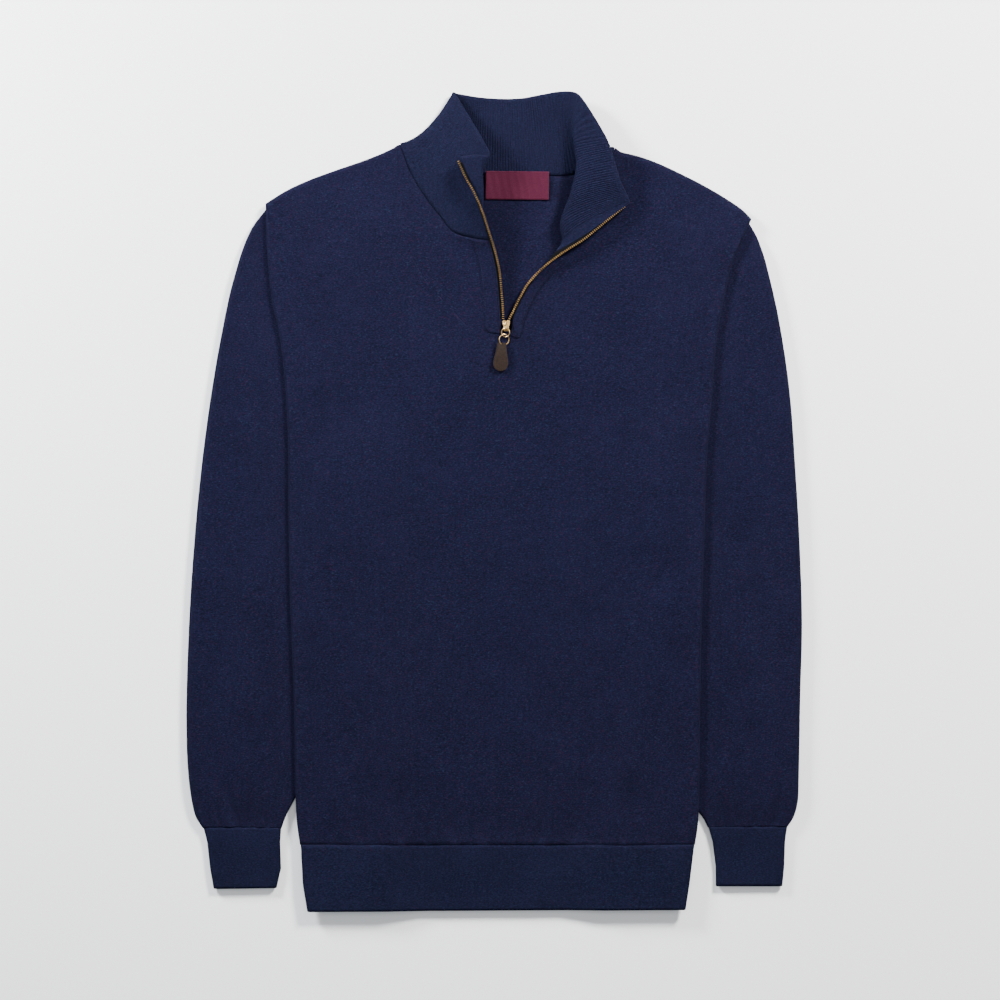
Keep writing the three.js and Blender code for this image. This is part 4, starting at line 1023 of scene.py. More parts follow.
def bevelled_box(size: Sequence[float], cut: float) -> tuple[Points, list]:
    """A box with its long edges cut and its top narrower, centred on the origin.

    Args:
        size: Its width, length and height.
        cut: How far its edges are cut.

    Returns:
        Its points and faces.
    """
    w, l, h = (value / 2 for value in size)
    levels = ((-h, cut), (-h + cut, 0), (h - cut, 0), (h, cut))
    points = [
        (sx * (w - c), sy * (l - c), z)
        for z, c in levels for sx, sy in ((-1, -1), (1, -1), (1, 1), (-1, 1))
    ]
    faces = [[3, 2, 1, 0], [12, 13, 14, 15]]
    for level in range(3):
        for k in range(4):
            a, b = level * 4 + k, level * 4 + (k + 1) % 4
            faces.append([a, b, b + 4, a + 4])
    return np.array(points, float), faces


def stitch_row(
    name: str, curve: Curve, lifted: Points, material: bpy.types.Material, pitch: float,
    size: Sequence[float],
) -> bpy.types.Object:
    """A row of stitches along a curve.

    Args:
        name: The piece's name.
        curve: The line that it follows.
        lifted: The way that the cloth faces, one direction for the row.
        material: The thread.
        pitch: The distance from stitch to stitch.
        size: A stitch's width, length and height.

    Returns:
        The piece.
    """
    places, ahead = along_curve(curve, pitch)
    up = unit(lifted - ahead * np.sum(ahead * lifted, axis=1, keepdims=True))
    axes = np.stack([np.cross(ahead, up), ahead, up], 1)
    points, faces = copies(*bevelled_box(size, min(size) * 0.3), places, axes)
    return dress(make_object(name, points, faces, material))


@dataclass
class Zip:
    """The open zip: its bands, its tapes, its teeth and the stitches that hold them."""

    front: Front
    collar: Collar
    chains: dict = field(default_factory=lambda: {
        Side.LEFT: columns("x y z", [
            [8.1, 167.4, 7], [7.8, 175, 7.1], [6.8, 189.1, 7.6], [4.7, 211.1, 9.4], [0.7, 229.5, 12.4],
            [-3.6, 243, 15.6], [-11.3, 266.3, 20.3], [-18.6, 282.9, 23.2], [-26, 295.8, 24],
            [-33.6, 312.4, 22],
        ]),
        Side.RIGHT: columns("x y z", [
            [13.8, 167.4, 7], [17.3, 174.3, 7.4], [23.7, 187.2, 8.2], [31.1, 200.1, 9.4], [40.3, 210.2, 11.4],
            [53.1, 221.3, 13.2], [67.9, 231.4, 15], [82.6, 240.6, 15.6], [97.3, 252.5, 15.6],
            [112, 264.5, 14.4],
            [121.8, 272.2, 13],
        ]),
    })
    tape_gap: float = 0.5
    tape_beyond: float = 0.6
    tape_from_y: float = 166.5
    tooth: tuple = (1.5, 0.62, 1.5)
    tooth_head: tuple = (0.6, 0.5, 1.1)
    tooth_pitch: float = 1.95
    band_cut: Cut = Cut(0.011, 0.087, 0.0008)
    tape_cut: Cut = Cut(0.01, 0.155, 0.0006)

    def front_edge(self, side: Side, rows: int) -> tuple[ClothEdge, Points]:
        """The front beside the zip, and the whole strip of it that the band covers."""
        front = self.front
        band = np.linspace(front.placket_share, 1, 9)
        if side is Side.LEFT:
            v = mix(front.left_slit_share, 0.998, np.linspace(0.02, 1, rows))
            grid = front.left(band, v)
            return ClothEdge.of_grid(grid, -1, 0), grid
        v = mix(front.right_slit_share, front.right_neck_share, np.linspace(0.02, 0.985, rows))
        grid = front.right(1 - band[::-1], v)
        return ClothEdge.of_grid(grid, 0, -1), grid

    def collar_edge(self, side: Side) -> ClothEdge:
        """The collar beside the zip, from its seam up, facing as the front does."""
        heights = np.linspace(0.02, 1, 24)
        shares = np.array([0.0, 0.012]) if side is Side.LEFT else np.array([0.988, 1.0])
        inner = self.collar.at(shares, heights)
        read = ClothEdge.of_grid(inner, 0, 1) if side is Side.LEFT else ClothEdge.of_grid(inner, 1, 0)
        return ClothEdge(read.edge, read.inner, -read.facing)

    def band(self, side: Side, material: bpy.types.Material) -> bpy.types.Object:
        """The band sewn down beside the zip, on the front's outer side."""
        _, grid = self.front_edge(side, 60)
        facing = Sheet.grid(grid).facings().reshape(grid.shape)
        strip = grid + facing * (HALF + 0.05 + BAND / 2)
        if side is Side.LEFT:
            strip = strip[:, :-1]
        else:
            strip = strip[:, 1:]
        made = make_object(f"zip_band_{side.name.lower()}", *wall(Sheet.grid(strip), BAND), material)
        return dress(made, node=f"placket_{side.name.lower()}", cut=self.band_cut)

    def tape(self, side: Side, material: bpy.types.Material) -> bpy.types.Object:
        """The woven tape from the cloth's edge to the teeth."""
        low, _ = self.front_edge(side, 40)
        cloth = low.joined_to(self.collar_edge(side))
        keep = cloth.edge[:, 1] > self.tape_from_y
        start = cloth.edge[keep] + unit(cloth.edge[keep] - cloth.inner[keep]) * self.tape_gap
        edge = rail(start[::3])
        chain = rail(Torso.points(self.chains[side]))
        shares = np.linspace(0, 1, 120)
        a, b = edge(shares), chain(shares)
        beyond = self.tape_beyond / np.maximum(np.linalg.norm(b - a, axis=1), 0.5)
        across = np.stack([np.zeros(120), np.full(120, 0.35), np.full(120, 0.7), 1 + beyond], 1)
        grid = a[:, None] + (b - a)[:, None] * across[..., None]
        grid = grid if side is Side.LEFT else grid[:, ::-1]
        made = make_object(f"tape_{side.name.lower()}", *wall(Sheet.grid(grid), TAPE), material)
        return dress(made, node=f"zip_tape_{side.name.lower()}", cut=self.tape_cut)

    def teeth(self, side: Side, material: bpy.types.Material) -> bpy.types.Object:
        """The teeth, clamped over the tape's edge, each with a small head."""
        chain = rail(Torso.points(self.chains[side]))
        places, ahead = along_curve(chain, self.tooth_pitch)
        up = unit(np.array([0, 0, 1.0]) - ahead * ahead[:, 2:3])
        outward = np.cross(ahead, up) * (1 if side is Side.LEFT else -1)
        clamp, clamp_faces = bevelled_box(self.tooth, 0.18)
        head, head_faces = bevelled_box(self.tooth_head, 0.15)
        head = head + np.array([self.tooth[0] / 2 + 0.2, 0, 0])
        shape = np.vstack([clamp, head])
        faces = clamp_faces + [[k + len(clamp) for k in face] for face in head_faces]
        axes = np.stack([outward, ahead, np.cross(outward, ahead)], 1)
        if side is Side.RIGHT:
            faces = [face[::-1] for face in faces] if np.linalg.det(axes[0]) < 0 else faces
        points, all_faces = copies(shape, faces, places, axes)
        made = make_object(f"teeth_{side.name.lower()}", points, all_faces, material)
        for polygon in made.data.polygons:
            polygon.use_smooth = False
        return dress(made)

    def ditch(self, side: Side, material: bpy.types.Material) -> bpy.types.Object:
        """The line of stitches near the band's far edge."""
        _, grid = self.front_edge(side, 60)
        facing = Sheet.grid(grid).facings().reshape(grid.shape)
        column = 1 if side is Side.LEFT else -2
        places = grid[:, column] + facing[:, column] * (HALF + BAND + 0.1)
        return stitch_row(
            f"band_stitches_{side.name.lower()}", rail(places[2::4]), np.array([0, 0, 1.0]),
            material, 2.4, (0.35, 1.6, 0.2))

    def bar_tack(self, material: bpy.types.Material) -> bpy.types.Object:
        """The short row of stitches across the foot of the zip."""
        low = self.front.torso.front_height(np.array([11.0]), np.array([150.6]))[0] + HALF + 0.12
        across = line(np.array([7.0, 150.6, low]), np.array([15.0, 150.2, low]))
        return stitch_row(
            "zip_foot_stitches", across, np.array([0, 0, 1.0]), material, 0.8, (2.2, 0.5, 0.3))

    def build(self, kit: "Materials") -> None:
        """Makes every piece of the zip but its pull."""
        for side in Side:
            self.band(side, kit.knit)
            self.tape(side, kit.tape)
            self.teeth(side, kit.brass)
            self.ditch(side, kit.thread)
        self.bar_tack(kit.thread)


@dataclass
class NeckLabel:
    """The bare woven label, with rows of stitches along its top and its foot."""

    width: float = 58.0
    height: float = 25.6
    middle: tuple = (21.2, 291.2)
    tilt: float = math.radians(-0.6)
    cut: Cut = Cut(0.058, 0.026, 0.0015)

    def at(self, across: np.ndarray, up: np.ndarray) -> Points:
        """Places on the label, from its middle, in its own width and height."""
        low = mix(2.95, 3.95, up / self.height + 0.5)
        ripple = 0.25 * np.cos(across / self.width * math.pi * 3) + 0.08 * np.sin(across * 0.9 + up * 0.2)
        turn_x, turn_y = math.cos(self.tilt), math.sin(self.tilt)
        return np.stack([
            self.middle[0] + across * turn_x - up * turn_y,
            self.middle[1] + across * turn_y + up * turn_x,
            low + ripple,
        ], -1)

    def build(self, cloth: bpy.types.Material, thread: bpy.types.Material) -> None:
        """Makes the label and its stitches."""
        columns_across, rows_up = np.linspace(-0.5, 0.5, 60), np.linspace(-0.5, 0.5, 28)
        across, up = np.meshgrid(columns_across * self.width, rows_up * self.height)
        made = make_object("label_cloth", *wall(Sheet.grid(self.at(across, up)), 0.7), cloth)
        dress(made, node="neck_label", cut=self.cut)
        run = np.linspace(-0.49, 0.49, 24) * self.width
        for name, height in (("top", 0.46), ("foot", -0.46)):
            places = self.at(run, np.full(24, height * self.height)) + np.array([0, 0, 0.4])
            stitch_row(
                f"label_stitches_{name}", rail(places), np.array([0, 0, 1.0]), thread, 2.0,
                (0.3, 1.4, 0.2))


@dataclass
class TurnedSide:
    """The side and sleeve fullness turned under the body, rounded and layered at its edges."""

    name: str
    cut: Cut = Cut(0.09, 0.36, 0.031)

    def build(self, source: bpy.types.Object, material: bpy.types.Material) -> bpy.types.Object:
        """Makes the rounded layers on the solid's own form."""
        mesh = source.data.copy()
        made = bpy.data.objects.new(f"{self.name}_cloth", mesh)
        bpy.context.scene.collection.objects.link(made)
        weld = made.modifiers.new("weld", "WELD")
        weld.merge_threshold = 0.00001
        soften = made.modifiers.new("soften", "SUBSURF")
        soften.levels = soften.render_levels = 1
        soften.subdivision_type = "SIMPLE"
        apply_modifiers(made)
        made.data.materials.clear()
        made.data.materials.append(material)
        return dress(made, node=self.name, cut=self.cut)


def apply_modifiers(made: bpy.types.Object) -> None:
    """Turns a piece's modifiers into its mesh."""
    graph = bpy.context.evaluated_depsgraph_get()
    final = bpy.data.meshes.new_from_object(made.evaluated_get(graph))
    made.modifiers.clear()
    made.data = final
    final.polygons.foreach_set("use_smooth", np.ones(len(final.polygons), bool))


@dataclass
class Pull:
    """The slider, link, ring and leather tab: the frame's own solids with eased edges."""

    smooth_degrees: float = 40.0

    def ease(self, node: bpy.types.Object, width: float, segments: int, material: bpy.types.Material) -> None:
        """Rounds a solid's edges and dresses it.

        Args:
            node: The CAD node's object.
            width: The bevel's width, in millimetres.
            segments: The bevel's steps.
            material: Its material.
        """
        weld = node.modifiers.new("weld", "WELD")
        weld.merge_threshold = 0.00001
        bevel = node.modifiers.new("eased_edges", "BEVEL")
        bevel.width = width * METRE
        bevel.segments = segments
        bevel.limit_method = "ANGLE"
        bevel.angle_limit = math.radians(self.smooth_degrees)
        self.paint(node, material)

    def round(self, node: bpy.types.Object, material: bpy.types.Material) -> None:
        """Smooths a ring of wire and dresses it."""
        weld = node.modifiers.new("weld", "WELD")
        weld.merge_threshold = 0.00001
        finer = node.modifiers.new("finer", "SUBSURF")
        finer.levels = finer.render_levels = 2
        self.paint(node, material)

    @staticmethod
    def paint(node: bpy.types.Object, material: bpy.types.Material) -> None:
        """Gives a CAD node its material and smooth shading."""
        node.data.materials.clear()
        node.data.materials.append(material)
        node.data.polygons.foreach_set("use_smooth", np.ones(len(node.data.polygons), bool))
        LOG.info("%s: kept with a new finish", node.name)

    def build(self, nodes: dict[str, bpy.types.Object], kit: "Materials") -> None:
        """Dresses the four solids."""
        self.ease(nodes["zip_slider"], 0.35, 3, kit.brass)
        self.ease(nodes["pull_tab"], 0.6, 4, kit.leather)
        self.round(nodes["pull_link"], kit.brass)
        self.round(nodes["pull_ring"], kit.brass)


@dataclass
class Graph:
    """A node tree with short ways to add nodes to it."""

    tree: bpy.types.NodeTree

    def add(self, kind: str, inputs: dict | None = None, **settings: object) -> bpy.types.Node:
        """Adds a node.

        Args:
            kind: The node's type.
            inputs: Its sockets, each a value or another node's output.
            settings: The node's own settings.

        Returns:
            The node.
        """
        node = self.tree.nodes.new(kind)
        for name, value in settings.items():
            setattr(node, name, value)
        for name, value in (inputs or {}).items():
            if isinstance(value, bpy.types.NodeSocket):
                self.tree.links.new(value, node.inputs[name])
            else:
                node.inputs[name].default_value = value
        return node

    def maths(self, operation: str, a: object, b: object = 0.0, c: object = 0.0) -> bpy.types.NodeSocket:
        """One sum on up to three values."""
        return self.add("ShaderNodeMath", {0: a, 1: b, 2: c}, operation=operation).outputs[0]

    def vector(self, operation: str, a: object, b: object = (0, 0, 0)) -> bpy.types.NodeSocket:
        """One sum on two vectors."""
        return self.add("ShaderNodeVectorMath", {0: a, 1: b}, operation=operation).outputs[0]

    def noise(
        self, vector: object, scale: float, detail: float = 2.0, roughness: float = 0.5,
    ) -> bpy.types.NodeSocket:
        """Smooth noise from 0 to 1."""
        return self.add(
            "ShaderNodeTexNoise",
            {"Vector": vector, "Scale": scale, "Detail": detail, "Roughness": roughness},
        ).outputs["Fac"]

    def span(
        self, value: object, low: float, high: float, to_low: float = 0.0, to_high: float = 1.0,
    ) -> bpy.types.NodeSocket:
        """A value carried smoothly from one range to another."""
        return self.add(
            "ShaderNodeMapRange",
            {"Value": value, "From Min": low, "From Max": high, "To Min": to_low, "To Max": to_high},
            interpolation_type="SMOOTHSTEP",
        ).outputs["Result"]

    def colours(self, share: object, a: object, b: object, kind: str = "MIX") -> bpy.types.NodeSocket:
        """Two colours mixed by a share."""
        node = self.add("ShaderNodeMix", data_type="RGBA", blend_type=kind, clamp_factor=True)
        sockets = {"Factor_Float": share, "A_Color": a, "B_Color": b}
        for socket in node.inputs:
            if socket.identifier in sockets:
                value = sockets[socket.identifier]
                if isinstance(value, bpy.types.NodeSocket):
                    self.tree.links.new(value, socket)
                else:
                    socket.default_value = value
        return next(socket for socket in node.outputs if socket.identifier == "Result_Color")

    def filled(self, group: bpy.types.NodeTree, inputs: dict) -> bpy.types.Node:
        """A shader group with values on its inputs."""
        node = self.tree.nodes.new("ShaderNodeGroup")
        node.node_tree = group
        for name, value in inputs.items():
            if isinstance(value, bpy.types.NodeSocket):
                self.tree.links.new(value, node.inputs[name])
            else:
                node.inputs[name].default_value = value
        return node


def shader_group(
    name: str, inputs: Sequence[tuple], outputs: Sequence[tuple],
) -> tuple[Graph, bpy.types.Node, bpy.types.Node]:
    """An empty shader group.

    Args:
        name: The group's name.
        inputs: Each input's name, socket type and value.
        outputs: Each output's name and socket type.

    Returns:
        The group's graph, its input node and its output node.
    """
    tree = bpy.data.node_groups.new(name, "ShaderNodeTree")
    for label, kind, value in inputs:
        socket = tree.interface.new_socket(label, in_out="INPUT", socket_type=kind)
        socket.default_value = value
    for label, kind in outputs:
        tree.interface.new_socket(label, in_out="OUTPUT", socket_type=kind)
    graph = Graph(tree)
    return graph, graph.add("NodeGroupInput"), graph.add("NodeGroupOutput")


FLOAT = "NodeSocketFloat"
COLOUR = "NodeSocketColor"
VECTOR = "NodeSocketVector"


def heathered_yarn() -> bpy.types.NodeTree:
    """The group for mixed-colour yarn: flecks of two other colours, fine courses and a slow mottle."""
    graph, given, result = shader_group(
        "heathered_yarn",
        [("Vector", VECTOR, (0, 0, 0)), ("Base", COLOUR, (0.02, 0.02, 0.05, 1)),
         ("Warm fleck", COLOUR, (0.06, 0.02, 0.06, 1)), ("Cool fleck", COLOUR, (0.05, 0.08, 0.16, 1)),
         ("Flecks", FLOAT, 0.6), ("Courses", FLOAT, 0.2)],
        [("Color", COLOUR), ("Fuzz", FLOAT)])
    place = given.outputs["Vector"]
    stretched = graph.vector("MULTIPLY", place, (0.6, 1.5, 1.5))
    fibre = graph.noise(stretched, 0.95, 3.0, 0.6)
    courses = graph.noise(graph.vector("MULTIPLY", place, (0.05, 1.15, 1.15)), 1.0, 1.0)
    mottle = graph.noise(place, 0.022, 3.0, 0.55)
    light = graph.span(fibre, 0.28, 0.72, 0.5, 1.5)
    centred = graph.maths("SUBTRACT", courses, 0.5)
    striped = graph.maths("MULTIPLY_ADD", centred, given.outputs["Courses"], 1.0)
    light = graph.maths("MULTIPLY", light, striped)
    light = graph.maths("MULTIPLY", light, graph.span(mottle, 0.3, 0.7, 0.93, 1.07))
    base = graph.vector("MULTIPLY", given.outputs["Base"], graph.add(
        "ShaderNodeCombineXYZ", {"X": light, "Y": light, "Z": light}).outputs[0])
    warm = graph.span(graph.noise(graph.vector("ADD", stretched, (37, 11, 5)), 0.8, 2.0), 0.56, 0.68)
    cool = graph.span(graph.noise(graph.vector("ADD", stretched, (91, 53, 17)), 0.85, 2.0), 0.57, 0.7)
    warm_share = graph.maths("MULTIPLY", warm, given.outputs["Flecks"])
    warmed = graph.colours(warm_share, base, given.outputs["Warm fleck"])
    cool_share = graph.maths("MULTIPLY", cool, given.outputs["Flecks"])
    cooled = graph.colours(cool_share, warmed, given.outputs["Cool fleck"])
    graph.tree.links.new(cooled, result.inputs["Color"])
    graph.tree.links.new(fibre, result.inputs["Fuzz"])
    return graph.tree


def stitch_relief() -> bpy.types.NodeTree:
    """The group for knit stitches: columns of small leaning loops."""
    graph, given, result = shader_group(
        "stitch_relief",
        [("Vector", VECTOR, (0, 0, 0)), ("Wale", FLOAT, 1.2), ("Course", FLOAT, 0.95)],
        [("Height", FLOAT)])
    parts = graph.add("ShaderNodeSeparateXYZ", {"Vector": given.outputs["Vector"]})
    half = graph.maths("MULTIPLY", given.outputs["Wale"], 0.5)
    lean = graph.maths("PINGPONG", parts.outputs["X"], half)
    share = graph.maths("DIVIDE", lean, half)
    tilted = graph.maths("MULTIPLY_ADD", lean, 1.1, parts.outputs["Y"])
    turn = graph.maths("DIVIDE", graph.maths("MULTIPLY", tilted, 2 * math.pi), given.outputs["Course"])
    loop = graph.maths("MULTIPLY_ADD", graph.maths("SINE", turn), 0.5, 0.5)
    column = graph.maths("SINE", graph.maths("MULTIPLY", share, math.pi))
    height = graph.maths("MULTIPLY_ADD", column, 0.55, graph.maths("MULTIPLY", loop, 0.45))
    graph.tree.links.new(height, result.inputs["Height"])
    return graph.tree


def woven_threads() -> bpy.types.NodeTree:
    """The group for a close weave: threads over and under each way."""
    graph, given, result = shader_group(
        "woven_threads",
        [("Vector", VECTOR, (0, 0, 0)), ("Warp", FLOAT, 0.35), ("Weft", FLOAT, 0.3)],
        [("Height", FLOAT), ("Thread", FLOAT)])
    parts = graph.add("ShaderNodeSeparateXYZ", {"Vector": given.outputs["Vector"]})
    waves = []
    for axis, pitch in (("X", "Warp"), ("Y", "Weft")):
        circle = graph.maths("MULTIPLY", parts.outputs[axis], 2 * math.pi)
        turn = graph.maths("DIVIDE", circle, given.outputs[pitch])
        waves.append(graph.maths("SINE", turn))
    height = graph.maths("MULTIPLY_ADD", graph.maths("MULTIPLY", waves[0], waves[1]), 0.5, 0.5)
    slub = graph.noise(graph.vector("MULTIPLY", given.outputs["Vector"], (0.3, 3.0, 1.0)), 1.2, 2.0)
    graph.tree.links.new(height, result.inputs["Height"])
    graph.tree.links.new(slub, result.inputs["Thread"])
    return graph.tree


def handled_wear() -> bpy.types.NodeTree:
    """The group for wear by hands: soft smudges and fine scratches."""
    graph, given, result = shader_group(
        "handled_wear",
        [("Vector", VECTOR, (0, 0, 0)), ("Smudge", FLOAT, 0.25), ("Scratch", FLOAT, 3.0)],
        [("Smudges", FLOAT), ("Scratches", FLOAT)])
    smudge = graph.noise(given.outputs["Vector"], 0.5, 3.0, 0.6)
    fine = graph.noise(graph.vector("MULTIPLY", given.outputs["Vector"], (0.5, 6.0, 2.0)), 1.5, 3.0, 0.65)
    graph.tree.links.new(graph.maths("MULTIPLY", smudge, given.outputs["Smudge"]), result.inputs["Smudges"])
    graph.tree.links.new(graph.maths("MULTIPLY", fine, given.outputs["Scratch"]), result.inputs["Scratches"])
    return graph.tree


@dataclass(frozen=True)
class KnitFinish:
    """A heathered knit: its yarn's colours, the size of its stitches and how it takes the light."""

    name: str
    base: tuple
    warm: tuple
    cool: tuple
    flecks: float
    courses: float
    wale: float
    course: float
    relief: float
    roughness: float = 0.92
    specular: float = 0.03
    sheen: float = 0.012
    sheen_tint: tuple = (0.45, 0.62, 1.0, 1.0)

    def make(self, kit: "Materials") -> bpy.types.Material:
        """Makes the material."""
        graph, shader, place = kit.start(self.name)
        yarn = graph.filled(kit.yarn, {
            "Vector": place, "Base": self.base, "Warm fleck": self.warm, "Cool fleck": self.cool,
            "Flecks": self.flecks, "Courses": self.courses})
        stitches = graph.filled(kit.stitches, {"Vector": place, "Wale": self.wale, "Course": self.course})
        height = graph.maths("MULTIPLY_ADD", yarn.outputs["Fuzz"], 0.7, stitches.outputs["Height"])
        bump = graph.add("ShaderNodeBump", {
            "Height": height, "Distance": self.relief * METRE, "Strength": 0.8})
        links = graph.tree.links
        links.new(yarn.outputs["Color"], shader.inputs["Base Color"])
        links.new(bump.outputs["Normal"], shader.inputs["Normal"])
        shader.inputs["Roughness"].default_value = self.roughness
        shader.inputs["Specular IOR Level"].default_value = self.specular
        shader.inputs["Sheen Weight"].default_value = self.sheen
        shader.inputs["Sheen Roughness"].default_value = 0.45
        shader.inputs["Sheen Tint"].default_value = self.sheen_tint
        return bpy.data.materials[self.name]


@dataclass(frozen=True)
class WovenFinish:
    """A close-woven cloth or tape."""

    name: str
    dark: tuple
    light: tuple
    warp: float
    weft: float
    roughness: float
    sheen: float
    relief: float
    specular: float = 0.05

    def make(self, kit: "Materials") -> bpy.types.Material:
        """Makes the material."""
        graph, shader, place = kit.start(self.name)
        weave = graph.filled(kit.weave, {"Vector": place, "Warp": self.warp, "Weft": self.weft})
        tone = graph.maths("MULTIPLY_ADD", weave.outputs["Height"], 0.35, graph.maths(
            "MULTIPLY", weave.outputs["Thread"], 0.65))
        colour = graph.colours(graph.span(tone, 0.25, 0.75), self.dark, self.light)
        bump = graph.add("ShaderNodeBump", {
            "Height": weave.outputs["Height"], "Distance": self.relief * METRE, "Strength": 0.6})
        graph.tree.links.new(colour, shader.inputs["Base Color"])
        graph.tree.links.new(bump.outputs["Normal"], shader.inputs["Normal"])
        shader.inputs["Roughness"].default_value = self.roughness
        shader.inputs["Specular IOR Level"].default_value = self.specular
        shader.inputs["Sheen Weight"].default_value = self.sheen
        return bpy.data.materials[self.name]


@dataclass(frozen=True)
class MetalFinish:
    """Cast brass, polished and a little handled."""

    name: str = "antique_brass"
    bright: tuple = (0.6, 0.4, 0.17, 1)
    dull: tuple = (0.3, 0.18, 0.07, 1)

    def make(self, kit: "Materials") -> bpy.types.Material:
        """Makes the material."""
        graph, shader, place = kit.start(self.name)
        wear = graph.filled(kit.wear, {"Vector": place, "Smudge": 1.0, "Scratch": 1.0})
        colour = graph.colours(graph.span(wear.outputs["Smudges"], 0.35, 0.7), self.bright, self.dull)
        rough = graph.span(wear.outputs["Scratches"], 0.3, 0.75, 0.2, 0.42)
        bump = graph.add("ShaderNodeBump", {
            "Height": wear.outputs["Scratches"], "Distance": 0.00002, "Strength": 0.35})
        graph.tree.links.new(colour, shader.inputs["Base Color"])
        graph.tree.links.new(rough, shader.inputs["Roughness"])
        graph.tree.links.new(bump.outputs["Normal"], shader.inputs["Normal"])
        shader.inputs["Metallic"].default_value = 1.0
        return bpy.data.materials[self.name]


@dataclass(frozen=True)
class LeatherFinish:
    """Smooth dark leather with a fine pebble grain."""

    name: str = "dark_leather"
    dark: tuple = (0.006, 0.0032, 0.0022, 1)
    light: tuple = (0.016, 0.0092, 0.0068, 1)
    specular: float = 0.1

    def make(self, kit: "Materials") -> bpy.types.Material:
        """Makes the material."""
        graph, shader, place = kit.start(self.name)
        wear = graph.filled(kit.wear, {"Vector": place, "Smudge": 1.0, "Scratch": 1.0})
        pebble = graph.add("ShaderNodeTexVoronoi", {"Vector": place, "Scale": 1.9}).outputs["Distance"]
        smudged = graph.maths("MULTIPLY", wear.outputs["Smudges"], 0.7)
        tone = graph.maths("MULTIPLY_ADD", pebble, 0.35, smudged)
        colour = graph.colours(graph.span(tone, 0.2, 0.75), self.dark, self.light)
        rough = graph.span(wear.outputs["Smudges"], 0.3, 0.7, 0.45, 0.65)
        shader.inputs["Specular IOR Level"].default_value = self.specular
        bump = graph.add("ShaderNodeBump", {"Height": pebble, "Distance": 0.00012, "Strength": 0.5})
        graph.tree.links.new(colour, shader.inputs["Base Color"])
        graph.tree.links.new(rough, shader.inputs["Roughness"])
        graph.tree.links.new(bump.outputs["Normal"], shader.inputs["Normal"])
        return bpy.data.materials[self.name]


class Materials:
    """The shared groups and every material of the garment."""

    def __init__(self) -> None:
        """Makes the groups, then the materials."""
        self.yarn = heathered_yarn()
        self.stitches = stitch_relief()
        self.weave = woven_threads()
        self.wear = handled_wear()
        self.knit = KnitFinish(
            "navy_jersey", base=(0.0043, 0.0045, 0.0145, 1), warm=(0.018, 0.0062, 0.021, 1),
            cool=(0.0105, 0.018, 0.041, 1),
            flecks=0.6, courses=0.5, wale=1.15, course=0.95, relief=0.28).make(self)
        self.rib = KnitFinish(
            "navy_rib", base=(0.0042, 0.005, 0.0152, 1), warm=(0.0145, 0.0062, 0.0185, 1),
            cool=(0.0105, 0.0185, 0.04, 1),
            flecks=0.5, courses=0.3, wale=1.15, course=0.95, relief=0.2).make(self)
        self.tape = WovenFinish(
            "black_tape", dark=(0.0008, 0.0008, 0.0012, 1), light=(0.0022, 0.0022, 0.003, 1),
            warp=0.5, weft=0.45,
            roughness=0.85, sheen=0.0, relief=0.1).make(self)
        self.label = WovenFinish(
            "burgundy_label", dark=(0.029, 0.0036, 0.0112, 1), light=(0.058, 0.008, 0.0225, 1),
            warp=0.5, weft=0.38,
            roughness=0.5, sheen=0.0, relief=0.08).make(self)
        self.thread = WovenFinish(
            "navy_thread", dark=(0.0028, 0.003, 0.0095, 1), light=(0.0068, 0.008, 0.021, 1),
            warp=0.3, weft=0.3,
            roughness=0.7, sheen=0.0, relief=0.05).make(self)
        self.label_thread = WovenFinish(
            "burgundy_thread", dark=(0.019, 0.0024, 0.0075, 1), light=(0.044, 0.0063, 0.017, 1),
            warp=0.3, weft=0.3,
            roughness=0.6, sheen=0.0, relief=0.05).make(self)
        self.brass = MetalFinish().make(self)
        self.leather = LeatherFinish().make(self)

    @staticmethod
    def start(name: str) -> tuple[Graph, bpy.types.Node, bpy.types.NodeSocket]:
        """A new material with its shader and its place in millimetres.

        Args:
            name: The material's name.

        Returns:
            Its graph, its shader and the place on the piece.
        """
        material = bpy.data.materials.new(name)
        material.use_nodes = True
        graph = Graph(material.node_tree)
        shader = material.node_tree.nodes["Principled BSDF"]
        where = graph.add("ShaderNodeTexCoord").outputs["Object"]
        return graph, shader, graph.vector("MULTIPLY", where, (1000, 1000, 1000))


@dataclass(frozen=True)
class Lamp:
    """A soft studio lamp: where it stands, what it faces and how bright it is."""

    name: str
    at: tuple
    size: float
    power: float
    colour: tuple

    def build(self, aim: Vector) -> None:
        """Makes the lamp, turned to the point given."""
        light = bpy.data.lights.new(self.name, "AREA")
        light.shape = "DISK"
        light.size = self.size
        light.energy = self.power
        light.color = self.colour
        lamp = bpy.data.objects.new(self.name, light)
        lamp.location = self.at
        lamp.rotation_euler = (aim - Vector(self.at)).to_track_quat("-Z", "Y").to_euler()
        bpy.context.scene.collection.objects.link(lamp)


